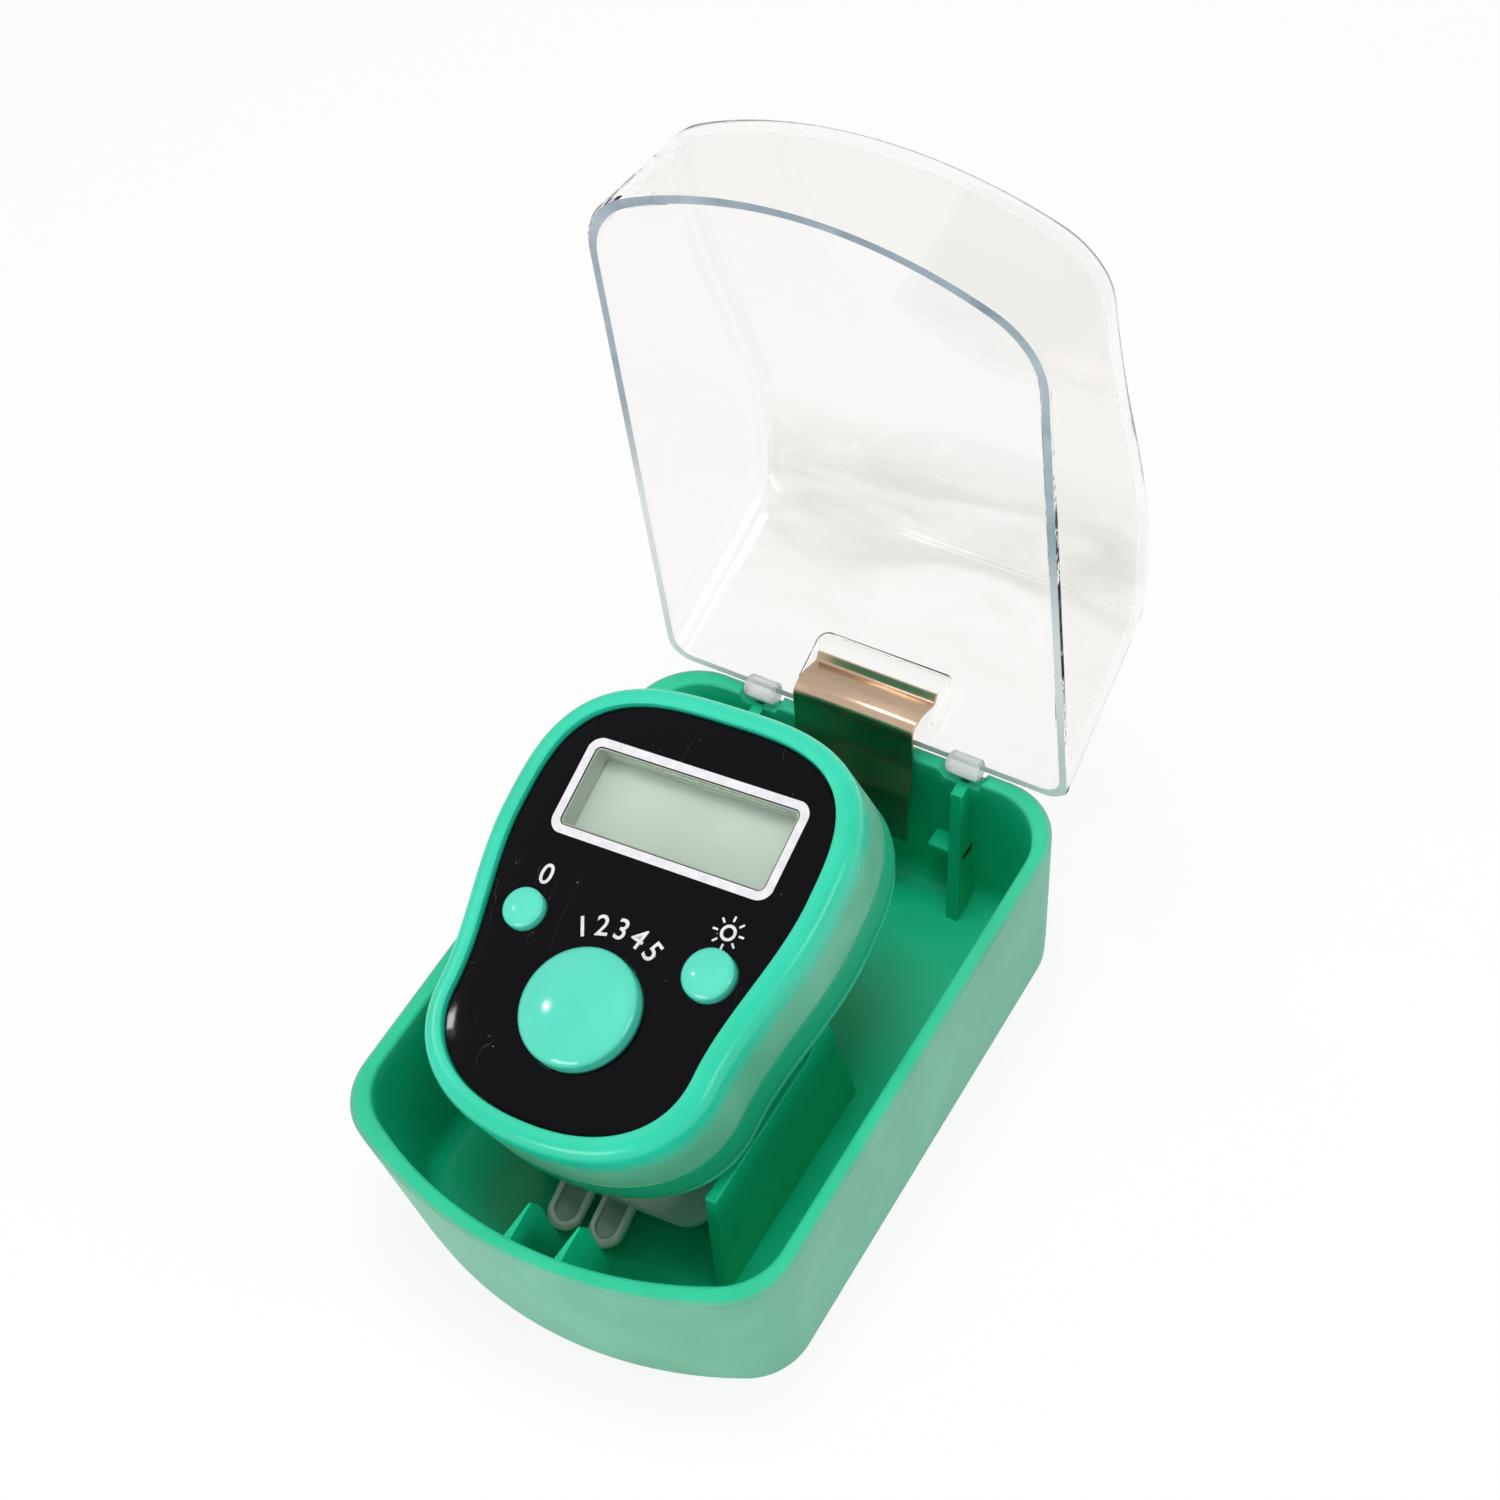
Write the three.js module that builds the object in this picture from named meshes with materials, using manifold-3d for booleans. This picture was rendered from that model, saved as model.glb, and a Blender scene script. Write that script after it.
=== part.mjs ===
// A digital finger counter with a soft finger strap, lying in a small hinged box with a clear lid.
// Millimetres, +Z up: X to the right, Y towards the hinge, Z = 0 on the underside of the tray.
// The counter's own frame has its origin on its face at the centre of the count button:
// x across the face, y towards the display, z out of the face.
import * as THREE from 'three';
import { mergeVertices } from 'three/addons/utils/BufferGeometryUtils.js';
import Module from 'manifold-3d';

const wasm = await Module();
wasm.setup();

// Box: tray
const TRAY_WIDTH = 39;
const TRAY_LENGTH = 54;
const TRAY_HEIGHT = 15.7;
const TRAY_BULGE = 5.3;
const TRAY_REAR_RADIUS = 5.9;
const TRAY_FRONT_RADIUS = 5.9;
const TRAY_DRAFT = 1.26;
const TRAY_FOOT_BEVEL = 0.5;
const TRAY_WALL = 1.4;
const TRAY_FLOOR = 1.3;

// Box: lid, with its hinge axis along X just above the rear rim of the tray
const LID_WIDTH = 37.9;
const LID_LENGTH = 53.3;
const LID_BULGE = 5.4;
const LID_REAR_RADIUS = 2.1;
const LID_FRONT_RADIUS = 6.7;
const LID_DRAFT = 0.8;
const LID_WALL = 0.95;
const LID_OPEN_ANGLE = 93.1;
const LID_TOP_REAR = 15;
const LID_TOP_CROWN = 16.85;
const LID_TOP_FRONT = 10.1;
const LID_REAR_LEAN = 6.1;
// Top edge in side view, as [share of the length from the rear, share of the rise to the crown] pairs:
// from the rear height up to the crown, then from the front height back up to it.
const LID_TOP_RISE = [[0.19, 0.72], [0.33, 1]];
const LID_TOP_FALL = [[0.47, 0.8], [0.7, 0.38]];
const HINGE_INSET = 0.4;
const HINGE_ABOVE_RIM = 0.4;
const LUG_RADIUS = 0.95;
const LUG_LENGTH = 2.9;
const LUG_OFFSET = 9.6;
const LUG_CLEARANCE = 0.3;

// Hinge spring, a bent steel strip
const SPRING_WIDTH = 11.2;
const SPRING_THICKNESS = 0.35;
const SPRING_WALL_GAP = 0.5;
const SPRING_FOOT_DROP = 7.4;
const SPRING_FOOT_LEAN = 2.5;
const SPRING_KNEE_DROP = 3;
const SPRING_KNEE_LEAN = 1.3;
const SPRING_BEND_LEAN = 0.45;
// Places on the lid arm, as [distance from the hinge, height above its seat] pairs.
const SPRING_BEND = [[1.2, 0.35], [2.2, 0.05]];
const SPRING_ARM = 6.4;
const SPRING_CURL = 0.8;
const SPRING_POCKET_WALL = 0.6;
const SPRING_POCKET_HEIGHT = 0.9;

// Ribs inside the tray
const RIB_THICKNESS = 1.1;
const RIB_OFFSET = 9.2;
const RIB_TOP_DEPTH = 1.2;
const RIB_FOOT_DEPTH = 3.4;
const LEDGE_LENGTH = 2.2;
const LEDGE_HEIGHT = 0.8;
const FIN_THICKNESS = 0.9;
const FIN_SPACING = 4.45;
const FIN_CENTRE = 1.4;
const FIN_DEPTH = 3.9;
const FIN_FOOT_GROWTH = 1.2;
const PLATE_THICKNESS = 1;
const PLATE_OFFSET = 10.3;
const PLATE_FRONT = -17.2;
const PLATE_REAR = 3.4;
const PLATE_TOP_BELOW_RIM = 0.3;
const PLATE_SADDLE_DROP = 2.4;
// Top edge of the plate, as [share of its length from the rear, share of the saddle's drop] pairs.
const PLATE_EDGE = [[0.08, 0.5], [0.12, 0.33], [0.24, 1], [0.34, 0.95], [0.62, 0.9], [0.91, 0.9]];

// Counter: place in the box, as a position and turns about Z, X and Y
const COUNTER_PLACE = [-1.95, -10.5, 24.2];
const COUNTER_YAW = 2.2;
const COUNTER_PITCH = 14.4;
const COUNTER_ROLL = -5.6;

// Counter: pear-shaped face outline, a wide head and a narrow foot joined by a waist
const HEAD_HALF_WIDTH = 13.05;
const HEAD_CENTRE = 13.3;
const HEAD_RISE = 11.3;
const HEAD_SQUARENESS = 3.2;
const FOOT_HALF_WIDTH = 10.85;
const FOOT_CENTRE = -1.6;
const FOOT_FALL = 7.5;
const FOOT_SQUARENESS = 2.25;

// Counter: shells
const BEZEL_WIDTH = 1.85;
const BEZEL_RISE = 0.5;
const BEZEL_ROUND = 1.5;
// Rounded edge of the bezel, as [share of its width, share of the rounding's height below the top] pairs.
const BEZEL_EDGE = [[1, 1], [0.88, 0.45], [0.62, 0.12], [0.36, 0]];
const SHELL_WALL = 1;
const COVER_CLEARANCE = 0.38;
const DECK_THICKNESS = 1;
const FACE_THICKNESS = 0.8;
const FIT = 0.12;
const LOOSE_FIT = 0.25;
const COVER_INSET = 0.35;
const COVER_THICKNESS = 1.25;
const COVER_BEVEL = 0.4;
const LIP_HEIGHT = 0.8;
const LIP_THICKNESS = 0.8;
const BOSS_RADIUS = 1.35;
const BOSS_HEAD_PLACE = [0, 22.8];
const BOSS_FOOT_OFFSET = 7.3;
const BOSS_FOOT_PLACE = -5.8;
const PILOT_RADIUS = 0.55;
const PILOT_DEPTH = 4;
const SCREW_RADIUS = 0.42;
const SCREW_LENGTH = 3.4;
const SCREW_HEAD_RADIUS = 1.25;
const SCREW_HEAD_HEIGHT = 0.55;
const SCREW_SLOT_WIDTH = 0.3;
const SCREW_SLOT_DEPTH = 0.3;
const SCREW_SLOT_REACH = 0.75;

// Counter: display stack and circuit
const DISPLAY_CENTRE = 16.5;
const WINDOW_HALF_WIDTH = 9.3;
const WINDOW_HALF_HEIGHT = 3.4;
const WINDOW_CORNER = 0.5;
const LENS_MARGIN = 0.45;
const LENS_THICKNESS = 0.6;
const GLASS_HALF_WIDTH = 10.6;
const GLASS_HALF_HEIGHT = 4.7;
const GLASS_THICKNESS = 1.6;
const GUIDE_THICKNESS = 1.2;
const GUIDE_INSET = 1.6;
const ELASTOMER_WIDTH = 1.2;
const BOARD_THICKNESS = 0.8;
const LAMP_SIZE = [0.7, 1.4, 0.6];
const BLOB_RADIUS = 3.6;
const BLOB_HEIGHT = 1.1;
const BLOB_PLACE = 13;

// Counter: button cell and its two spring contacts
const CELL_RADIUS = 5.8;
const CELL_THICKNESS = 2.1;
const CELL_PLACE = -1.5;
const CELL_BEVEL = 0.25;
const CELL_CAP_RADIUS = 5;
const CELL_CAP_EDGE = 4.9;
const CELL_CAN_DEPTH = 0.7;
const CELL_SEAL_DEPTH = 0.5;
const CONTACT_THICKNESS = 0.2;
const CONTACT_WIDTH = 3.4;
const UPPER_CONTACT_LENGTH = 8.1;
const LOWER_CONTACT_REACH = 2.9;

// Counter: buttons, each with a flange under the deck and a rubber dome under it
const COUNT_RADIUS = 4.8;
const COUNT_RISE = 2;
const RESET_RADIUS = 1.7;
const RESET_RISE = 1;
const LIGHT_RADIUS = 2.1;
const LIGHT_RISE = 1.2;
const SIDE_BUTTON_OFFSET = 8.45;
const SIDE_BUTTON_PLACE = 5.75;
const FLANGE_WIDTH = 0.7;
const FLANGE_THICKNESS = 1;
const BUTTON_CLEARANCE = 0.2;
const CAP_STRAIGHT_SHARE = 0.35;
const DOME_WALL = 0.35;
const DOME_TOP_SHARE = 0.5;
const DOME_FOOT_SHARE = 0.9;

// Finger strap: a ring of two overlapping bands, each held by a bar inside the back cover
const STRAP_THICKNESS = 1;
const STRAP_RING_HALF_WIDTH = 9.95;
const STRAP_RING_DROP = 4.65;
const STRAP_RING_CENTRE = -15.2;
const STRAP_LAYER_STEP = 0.65;
const STRAP_ARM_TURN = 125;
const STRAP_LONG_END_TURN = -72;
const STRAP_SHORT_END_TURN = -8;
const STRAP_SLOT_FRONT = -3.4;
const STRAP_SLOT_REAR = 4.4;
const STRAP_FRONT = -9.5;
const STRAP_REAR = 7;
const BAR_WIDTH = 1.8;
const BAR_HEIGHT = 0.8;
const TAB_WIDTH = 3;
const TAB_LENGTH = 3.8;
const TAB_TURNS = [-26, -2];
const TAB_THICKNESS = 0.8;

const ARC_STEPS = 6;
const CORNER_STEPS = 3;
const FINE_SEGMENTS = 28;
const PLAIN_SEGMENTS = 18;
const COARSE_SEGMENTS = 12;
const BAND_STEP = 10;
const MERGE_STEP = 1e-5;
const CUT_OVERRUN = 1;

const DEGREE = Math.PI / 180;

const deckTop = -FACE_THICKNESS - FIT;
const deckBottom = deckTop - DECK_THICKNESS;
const glassTop = deckBottom - FIT;
const glassBottom = glassTop - GLASS_THICKNESS;
const guideTop = glassBottom - FIT;
const guideBottom = guideTop - GUIDE_THICKNESS;
const boardTop = guideBottom - FIT;
const boardBottom = boardTop - BOARD_THICKNESS;
const flangeTop = deckBottom - FIT;
const flangeBottom = flangeTop - FLANGE_THICKNESS;
const cellTop = boardBottom - 2 * FIT - CONTACT_THICKNESS;
const cellBottom = cellTop - CELL_THICKNESS;
const contactBottom = cellBottom - FIT - CONTACT_THICKNESS;
const coverTop = contactBottom - COVER_CLEARANCE;
const coverBottom = coverTop - COVER_THICKNESS;
const shellBottom = coverTop + FIT;
const cavityOffset = BEZEL_WIDTH - SHELL_WALL;
const hingeY = TRAY_LENGTH / 2 - HINGE_INSET;
const hingeZ = TRAY_HEIGHT + HINGE_ABOVE_RIM;

// Solids and booleans

function toSolid(geometry) {
  const bare = geometry.clone();
  bare.deleteAttribute('normal');
  bare.deleteAttribute('uv');
  const merged = mergeVertices(bare, MERGE_STEP);
  const corners = merged.index.array;
  const kept = [];
  for (let i = 0; i < corners.length; i += 3) {
    const [a, b, c] = corners.slice(i, i + 3);
    if (a !== b && b !== c && c !== a) kept.push(a, b, c);
  }
  return new wasm.Manifold(new wasm.Mesh({
    numProp: 3,
    vertProperties: new Float32Array(merged.attributes.position.array),
    triVerts: new Uint32Array(kept),
  }));
}

function toGeometry(solid) {
  const mesh = solid.getMesh();
  const geometry = new THREE.BufferGeometry();
  geometry.setAttribute('position', new THREE.BufferAttribute(mesh.vertProperties, 3));
  geometry.setIndex(new THREE.BufferAttribute(mesh.triVerts, 1));
  const flat = geometry.toNonIndexed();
  flat.computeVertexNormals();
  return flat;
}

function join(base, ...others) {
  return others.reduce((whole, other) => whole.add(other), base);
}

function cut(base, ...others) {
  return others.reduce((whole, other) => whole.subtract(other), base);
}

// Outlines, all counter-clockwise

function arc(x, y, radius, from, to, steps) {
  return Array.from({ length: steps + 1 }, (_, i) => {
    const turn = from + (to - from) * i / steps;
    return new THREE.Vector2(x + radius * Math.cos(turn), y + radius * Math.sin(turn));
  });
}

// Box outline: straight rear and sides, rounded corners and a front that bulges out by an arc.
function boxOutline(width, length, bulge, rearRadius, frontRadius) {
  const half = width / 2;
  const rear = length / 2;
  const arcRadius = (half * half + bulge * bulge) / (2 * bulge);
  const arcCentre = arcRadius - rear;
  const cornerX = half - frontRadius;
  const cornerY = arcCentre - Math.sqrt((arcRadius - frontRadius) ** 2 - cornerX ** 2);
  const turn = Math.atan2(cornerY - arcCentre, cornerX);
  return [
    ...arc(half - rearRadius, rear - rearRadius, rearRadius, 0, Math.PI / 2, ARC_STEPS),
    ...arc(rearRadius - half, rear - rearRadius, rearRadius, Math.PI / 2, Math.PI, ARC_STEPS),
    ...arc(-cornerX, cornerY, frontRadius, Math.PI, Math.PI - turn, ARC_STEPS),
    ...arc(0, arcCentre, arcRadius, -Math.PI - turn, turn, 2 * ARC_STEPS).slice(1, -1),
    ...arc(cornerX, cornerY, frontRadius, turn, 0, ARC_STEPS),
  ];
}

function roundedRectangle(halfWidth, halfHeight, radius) {
  const x = halfWidth - radius;
  const y = halfHeight - radius;
  return [[x, y], [-x, y], [-x, -y], [x, -y]].flatMap(([cornerX, cornerY], quarter) => (
    arc(cornerX, cornerY, radius, quarter * Math.PI / 2, (quarter + 1) * Math.PI / 2, CORNER_STEPS)));
}

function quarterOval(halfWidth, height, squareness, turn) {
  const power = 2 / squareness;
  return [halfWidth * Math.cos(turn) ** power, height * Math.sin(turn) ** power];
}

function faceOutline() {
  const right = [];
  const steps = 2 * ARC_STEPS;
  for (let i = 0; i < steps; i += 1) {
    const [x, y] = quarterOval(FOOT_HALF_WIDTH, FOOT_FALL, FOOT_SQUARENESS, (1 - i / steps) * Math.PI / 2);
    right.push(new THREE.Vector2(x, FOOT_CENTRE - y));
  }
  for (let i = 0; i < ARC_STEPS; i += 1) {
    const share = i / ARC_STEPS;
    const width = THREE.MathUtils.lerp(FOOT_HALF_WIDTH, HEAD_HALF_WIDTH, share * share * (3 - 2 * share));
    right.push(new THREE.Vector2(width, THREE.MathUtils.lerp(FOOT_CENTRE, HEAD_CENTRE, share)));
  }
  for (let i = 0; i <= steps; i += 1) {
    const [x, y] = quarterOval(HEAD_HALF_WIDTH, HEAD_RISE, HEAD_SQUARENESS, i / steps * Math.PI / 2);
    right.push(new THREE.Vector2(x, HEAD_CENTRE + y));
  }
  right[0].x = 0;
  right[right.length - 1].x = 0;
  const left = right.slice(1, -1).reverse().map((point) => new THREE.Vector2(-point.x, point.y));
  return [...right, ...left];
}

function offsetOutline(points, distance) {
  return points.map((point, i) => {
    const before = points[(i + points.length - 1) % points.length];
    const after = points[(i + 1) % points.length];
    const along = after.clone().sub(before).normalize();
    return new THREE.Vector2(point.x + along.y * distance, point.y - along.x * distance);
  });
}

function shifted(points, x, y) {
  return points.map((point) => new THREE.Vector2(point.x + x, point.y + y));
}

// Shapes made from outlines

// Levels are [outline, height] pairs from the bottom up, all with the same number of points.
function loft(...levels) {
  const count = levels[0][0].length;
  const positions = levels.flatMap(([outline, z]) => outline.flatMap((point) => [point.x, point.y, z]));
  const index = [];
  for (let level = 0; level + 1 < levels.length; level += 1) {
    for (let i = 0; i < count; i += 1) {
      const a = level * count + i;
      const b = level * count + (i + 1) % count;
      index.push(a, b, b + count, a, b + count, a + count);
    }
  }
  const top = (levels.length - 1) * count;
  THREE.ShapeUtils.triangulateShape(levels[0][0], []).forEach(([a, b, c]) => index.push(c, b, a));
  THREE.ShapeUtils.triangulateShape(levels[levels.length - 1][0], [])
    .forEach(([a, b, c]) => index.push(top + a, top + b, top + c));
  const geometry = new THREE.BufferGeometry();
  geometry.setAttribute('position', new THREE.Float32BufferAttribute(positions, 3));
  geometry.setIndex(index);
  return toSolid(geometry);
}

function prism(outline, bottom, top) {
  return loft([outline, bottom], [outline, top]);
}

function disc(x, y, radius, bottom, top, segments = PLAIN_SEGMENTS) {
  const geometry = new THREE.CylinderGeometry(radius, radius, top - bottom, segments);
  geometry.rotateX(Math.PI / 2);
  geometry.translate(x, y, (bottom + top) / 2);
  return toSolid(geometry);
}

function block(x0, x1, y0, y1, z0, z1) {
  const geometry = new THREE.BoxGeometry(x1 - x0, y1 - y0, z1 - z0);
  geometry.translate((x0 + x1) / 2, (y0 + y1) / 2, (z0 + z1) / 2);
  return toSolid(geometry);
}

// A profile given as [y, z] points, extruded along X between two planes.
function profileAlongX(profile, x0, x1) {
  const shape = new THREE.Shape(profile.map(([y, z]) => new THREE.Vector2(y, z)));
  const geometry = new THREE.ExtrudeGeometry(shape, { depth: x1 - x0, bevelEnabled: false });
  const axes = [new THREE.Vector3(0, 1, 0), new THREE.Vector3(0, 0, 1), new THREE.Vector3(1, 0, 0)];
  geometry.applyMatrix4(new THREE.Matrix4().makeBasis(...axes));
  geometry.translate(x0, 0, 0);
  return toSolid(geometry);
}

// A profile of [radius, height] points turned about an upright axis.
function turned(profile, x, y, segments) {
  const geometry = new THREE.LatheGeometry(profile.map(([r, z]) => new THREE.Vector2(r, z)), segments);
  geometry.rotateX(Math.PI / 2);
  geometry.translate(x, y, 0);
  return toSolid(geometry);
}

// A strip of even thickness along [y, z] points.
function stripOutline(points, thickness) {
  const side = (sign) => points.map(([y, z], i) => {
    const before = points[Math.max(i - 1, 0)];
    const after = points[Math.min(i + 1, points.length - 1)];
    const length = Math.hypot(after[0] - before[0], after[1] - before[1]);
    const acrossY = -(after[1] - before[1]) / length;
    const acrossZ = (after[0] - before[0]) / length;
    return [y + sign * acrossY * thickness / 2, z + sign * acrossZ * thickness / 2];
  });
  return [...side(1), ...side(-1).reverse()];
}

// Tray

function trayOutline(inset) {
  return boxOutline(TRAY_WIDTH - 2 * inset, TRAY_LENGTH - 2 * inset, TRAY_BULGE,
    TRAY_REAR_RADIUS - inset / 2, TRAY_FRONT_RADIUS - inset / 2);
}

function rearWallInside(z) {
  return TRAY_LENGTH / 2 - TRAY_WALL - TRAY_DRAFT * (1 - z / TRAY_HEIGHT);
}

// Height to which the spring's foot hangs down inside the tray.
const springFootZ = TRAY_HEIGHT - SPRING_FOOT_DROP;

function tray() {
  const outside = loft(
    [trayOutline(TRAY_DRAFT + TRAY_FOOT_BEVEL), 0],
    [trayOutline(TRAY_DRAFT), TRAY_FOOT_BEVEL],
    [trayOutline(0), TRAY_HEIGHT],
  );
  const slope = TRAY_DRAFT / TRAY_HEIGHT;
  const inside = loft(
    [trayOutline(TRAY_WALL + TRAY_DRAFT - slope * TRAY_FLOOR), TRAY_FLOOR],
    [trayOutline(TRAY_WALL - slope * CUT_OVERRUN), TRAY_HEIGHT + CUT_OVERRUN],
  );
  const ribTop = hingeZ - LUG_RADIUS - LUG_CLEARANCE;
  const ribs = [-1, 1].flatMap((side) => {
    const near = side * RIB_OFFSET;
    const far = side * (RIB_OFFSET + RIB_THICKNESS);
    const rib = profileAlongX([
      [rearWallInside(TRAY_HEIGHT) + TRAY_WALL / 2, ribTop],
      [rearWallInside(TRAY_HEIGHT) - RIB_TOP_DEPTH, ribTop],
      [rearWallInside(TRAY_FLOOR) - RIB_FOOT_DEPTH, TRAY_FLOOR / 2],
      [rearWallInside(0) + TRAY_WALL / 2, TRAY_FLOOR / 2],
    ], Math.min(near, far), Math.max(near, far));
    const ledgeEnd = side * (RIB_OFFSET - LEDGE_LENGTH);
    const ledgeTop = springFootZ - LOOSE_FIT;
    const ledge = block(Math.min(far, ledgeEnd), Math.max(far, ledgeEnd),
      rearWallInside(ledgeTop) - RIB_FOOT_DEPTH / 2, rearWallInside(ledgeTop) + TRAY_WALL / 2,
      ledgeTop - LEDGE_HEIGHT, ledgeTop);
    return [rib, ledge];
  });
  const frontInside = TRAY_WALL - TRAY_LENGTH / 2;
  const plateTop = TRAY_HEIGHT - PLATE_TOP_BELOW_RIM;
  const fins = [-1, 1].map((side) => {
    const x = FIN_CENTRE + side * FIN_SPACING / 2;
    return profileAlongX([
      [frontInside - TRAY_WALL / 2, plateTop],
      [frontInside - TRAY_WALL / 2, plateTop - TRAY_WALL],
      [frontInside + TRAY_DRAFT - TRAY_WALL / 2, TRAY_FLOOR / 2],
      [frontInside + FIN_DEPTH + FIN_FOOT_GROWTH, TRAY_FLOOR / 2],
      [frontInside + FIN_DEPTH, plateTop - TRAY_WALL],
      [frontInside + FIN_DEPTH - TRAY_WALL / 2, plateTop],
    ], x - FIN_THICKNESS / 2, x + FIN_THICKNESS / 2);
  });
  const plate = profileAlongX([
    [PLATE_FRONT, TRAY_FLOOR / 2],
    [PLATE_REAR, TRAY_FLOOR / 2],
    ...PLATE_EDGE.map(([along, down]) => (
      [THREE.MathUtils.lerp(PLATE_REAR, PLATE_FRONT, along), plateTop - down * PLATE_SADDLE_DROP])),
  ], PLATE_OFFSET - PLATE_THICKNESS / 2, PLATE_OFFSET + PLATE_THICKNESS / 2);
  const notches = [-1, 1].map((side) => block(
    side * LUG_OFFSET - LUG_LENGTH / 2 - LUG_CLEARANCE, side * LUG_OFFSET + LUG_LENGTH / 2 + LUG_CLEARANCE,
    hingeY - LUG_RADIUS - LUG_CLEARANCE, TRAY_LENGTH / 2 + CUT_OVERRUN,
    hingeZ - LUG_RADIUS - LUG_CLEARANCE, TRAY_HEIGHT + CUT_OVERRUN));
  return cut(join(cut(outside, inside), ...ribs, ...fins, plate), ...notches);
}

// Lid, drawn closed with the hinge axis at the origin

function lidOutline(inset) {
  const outline = boxOutline(LID_WIDTH - 2 * inset, LID_LENGTH - 2 * inset, LID_BULGE,
    LID_REAR_RADIUS - inset / 2, LID_FRONT_RADIUS - inset / 2);
  return shifted(outline, 0, -LID_LENGTH / 2);
}

// Side view of the lid's inside or outside: the rear slope, the crown and the top falling to the front.
function lidProfile(inset) {
  const beyond = LID_LENGTH + 2 * CUT_OVERRUN;
  const topPoint = (low) => ([along, rise]) => (
    new THREE.Vector2(-along * LID_LENGTH, THREE.MathUtils.lerp(low, LID_TOP_CROWN, rise)));
  const top = new THREE.SplineCurve([
    new THREE.Vector2(-LID_REAR_LEAN, LID_TOP_REAR),
    ...LID_TOP_RISE.map(topPoint(LID_TOP_REAR)),
    ...LID_TOP_FALL.map(topPoint(LID_TOP_FRONT)),
    new THREE.Vector2(-beyond, LID_TOP_FRONT),
  ]).getPoints(2 * ARC_STEPS);
  const skirt = LID_REAR_LEAN / LID_TOP_REAR;
  const outline = [
    new THREE.Vector2(-beyond, -CUT_OVERRUN),
    new THREE.Vector2(skirt * CUT_OVERRUN, -CUT_OVERRUN),
    ...top,
  ];
  return offsetOutline(outline, -inset).map((point) => [point.x, point.y]);
}

function lidShell(inset, floor) {
  const height = LID_TOP_CROWN + CUT_OVERRUN;
  const sides = loft([lidOutline(inset), floor], [lidOutline(inset + LID_DRAFT), height]);
  return sides.intersect(profileAlongX(lidProfile(inset), -LID_WIDTH, LID_WIDTH));
}

function lid() {
  const lugs = [-1, 1].map((side) => {
    const geometry = new THREE.CylinderGeometry(LUG_RADIUS, LUG_RADIUS, LUG_LENGTH, PLAIN_SEGMENTS);
    geometry.rotateZ(Math.PI / 2);
    geometry.translate(side * LUG_OFFSET, 0, 0);
    return toSolid(geometry);
  });
  return join(cut(lidShell(0, 0), lidShell(LID_WALL, -CUT_OVERRUN)), ...lugs, springPocket());
}

// Low rib round the end of the spring's upper arm, on the inside of the lid's rear slope.
function springPocket() {
  const lean = Math.atan2(LID_REAR_LEAN, LID_TOP_REAR);
  const halfWidth = SPRING_WIDTH / 2 + LOOSE_FIT + SPRING_POCKET_WALL;
  const end = SPRING_ARM + SPRING_CURL + LOOSE_FIT;
  const depth = SPRING_POCKET_HEIGHT + LID_WALL / 2;
  const outer = new THREE.BoxGeometry(2 * halfWidth, depth, end);
  outer.translate(0, -(LID_WALL + depth) / 2, end / 2 + SPRING_POCKET_WALL + LID_WALL);
  const inner = new THREE.BoxGeometry(2 * (halfWidth - SPRING_POCKET_WALL), 4 * LID_WALL, end + LID_WALL);
  inner.translate(0, -2 * LID_WALL, end / 2);
  outer.rotateX(lean);
  inner.rotateX(lean);
  return toSolid(outer).subtract(toSolid(inner));
}

// Spring: one arm down inside the rear wall of the tray, a bend at the hinge, one arm on the open lid.
function springPoints() {
  const lean = Math.atan2(LID_REAR_LEAN, LID_TOP_REAR) + (LID_OPEN_ANGLE - 90) * DEGREE;
  const along = [Math.cos(lean), Math.sin(lean)];
  const lift = LID_WALL + SPRING_THICKNESS / 2 + LOOSE_FIT;
  const onLid = ([distance, above]) => [
    hingeY + along[0] * distance - along[1] * (lift + above),
    hingeZ + along[1] * distance + along[0] * (lift + above),
  ];
  const rimY = rearWallInside(TRAY_HEIGHT) - SPRING_WALL_GAP;
  return [
    [rimY - SPRING_FOOT_LEAN, springFootZ],
    [rimY - SPRING_KNEE_LEAN, TRAY_HEIGHT - SPRING_KNEE_DROP],
    [rimY, TRAY_HEIGHT],
    [rimY + SPRING_BEND_LEAN, hingeZ + lift],
    ...SPRING_BEND.map(onLid),
    onLid([SPRING_ARM, 0]),
    onLid([SPRING_ARM + SPRING_CURL, SPRING_CURL / 2]),
  ];
}

function hingeSpring() {
  return profileAlongX(stripOutline(springPoints(), SPRING_THICKNESS), -SPRING_WIDTH / 2, SPRING_WIDTH / 2);
}

// Counter

const face = faceOutline();

function faceAt(offset) {
  return offsetOutline(face, offset);
}

const sideButton = { y: SIDE_BUTTON_PLACE, segments: PLAIN_SEGMENTS };
const buttons = {
  count: { x: 0, y: 0, radius: COUNT_RADIUS, rise: COUNT_RISE, segments: FINE_SEGMENTS },
  reset: { ...sideButton, x: -SIDE_BUTTON_OFFSET, radius: RESET_RADIUS, rise: RESET_RISE },
  light: { ...sideButton, x: SIDE_BUTTON_OFFSET, radius: LIGHT_RADIUS, rise: LIGHT_RISE },
};

const bosses = [
  BOSS_HEAD_PLACE,
  [-BOSS_FOOT_OFFSET, BOSS_FOOT_PLACE],
  [BOSS_FOOT_OFFSET, BOSS_FOOT_PLACE],
];

function buttonHoles(bottom, top) {
  return Object.values(buttons)
    .map(({ x, y, radius, segments }) => disc(x, y, radius + BUTTON_CLEARANCE, bottom, top, segments));
}

function windowBlock(margin, bottom, top) {
  const outline = roundedRectangle(WINDOW_HALF_WIDTH + margin, WINDOW_HALF_HEIGHT + margin, WINDOW_CORNER);
  return prism(shifted(outline, 0, DISPLAY_CENTRE), bottom, top);
}

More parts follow.
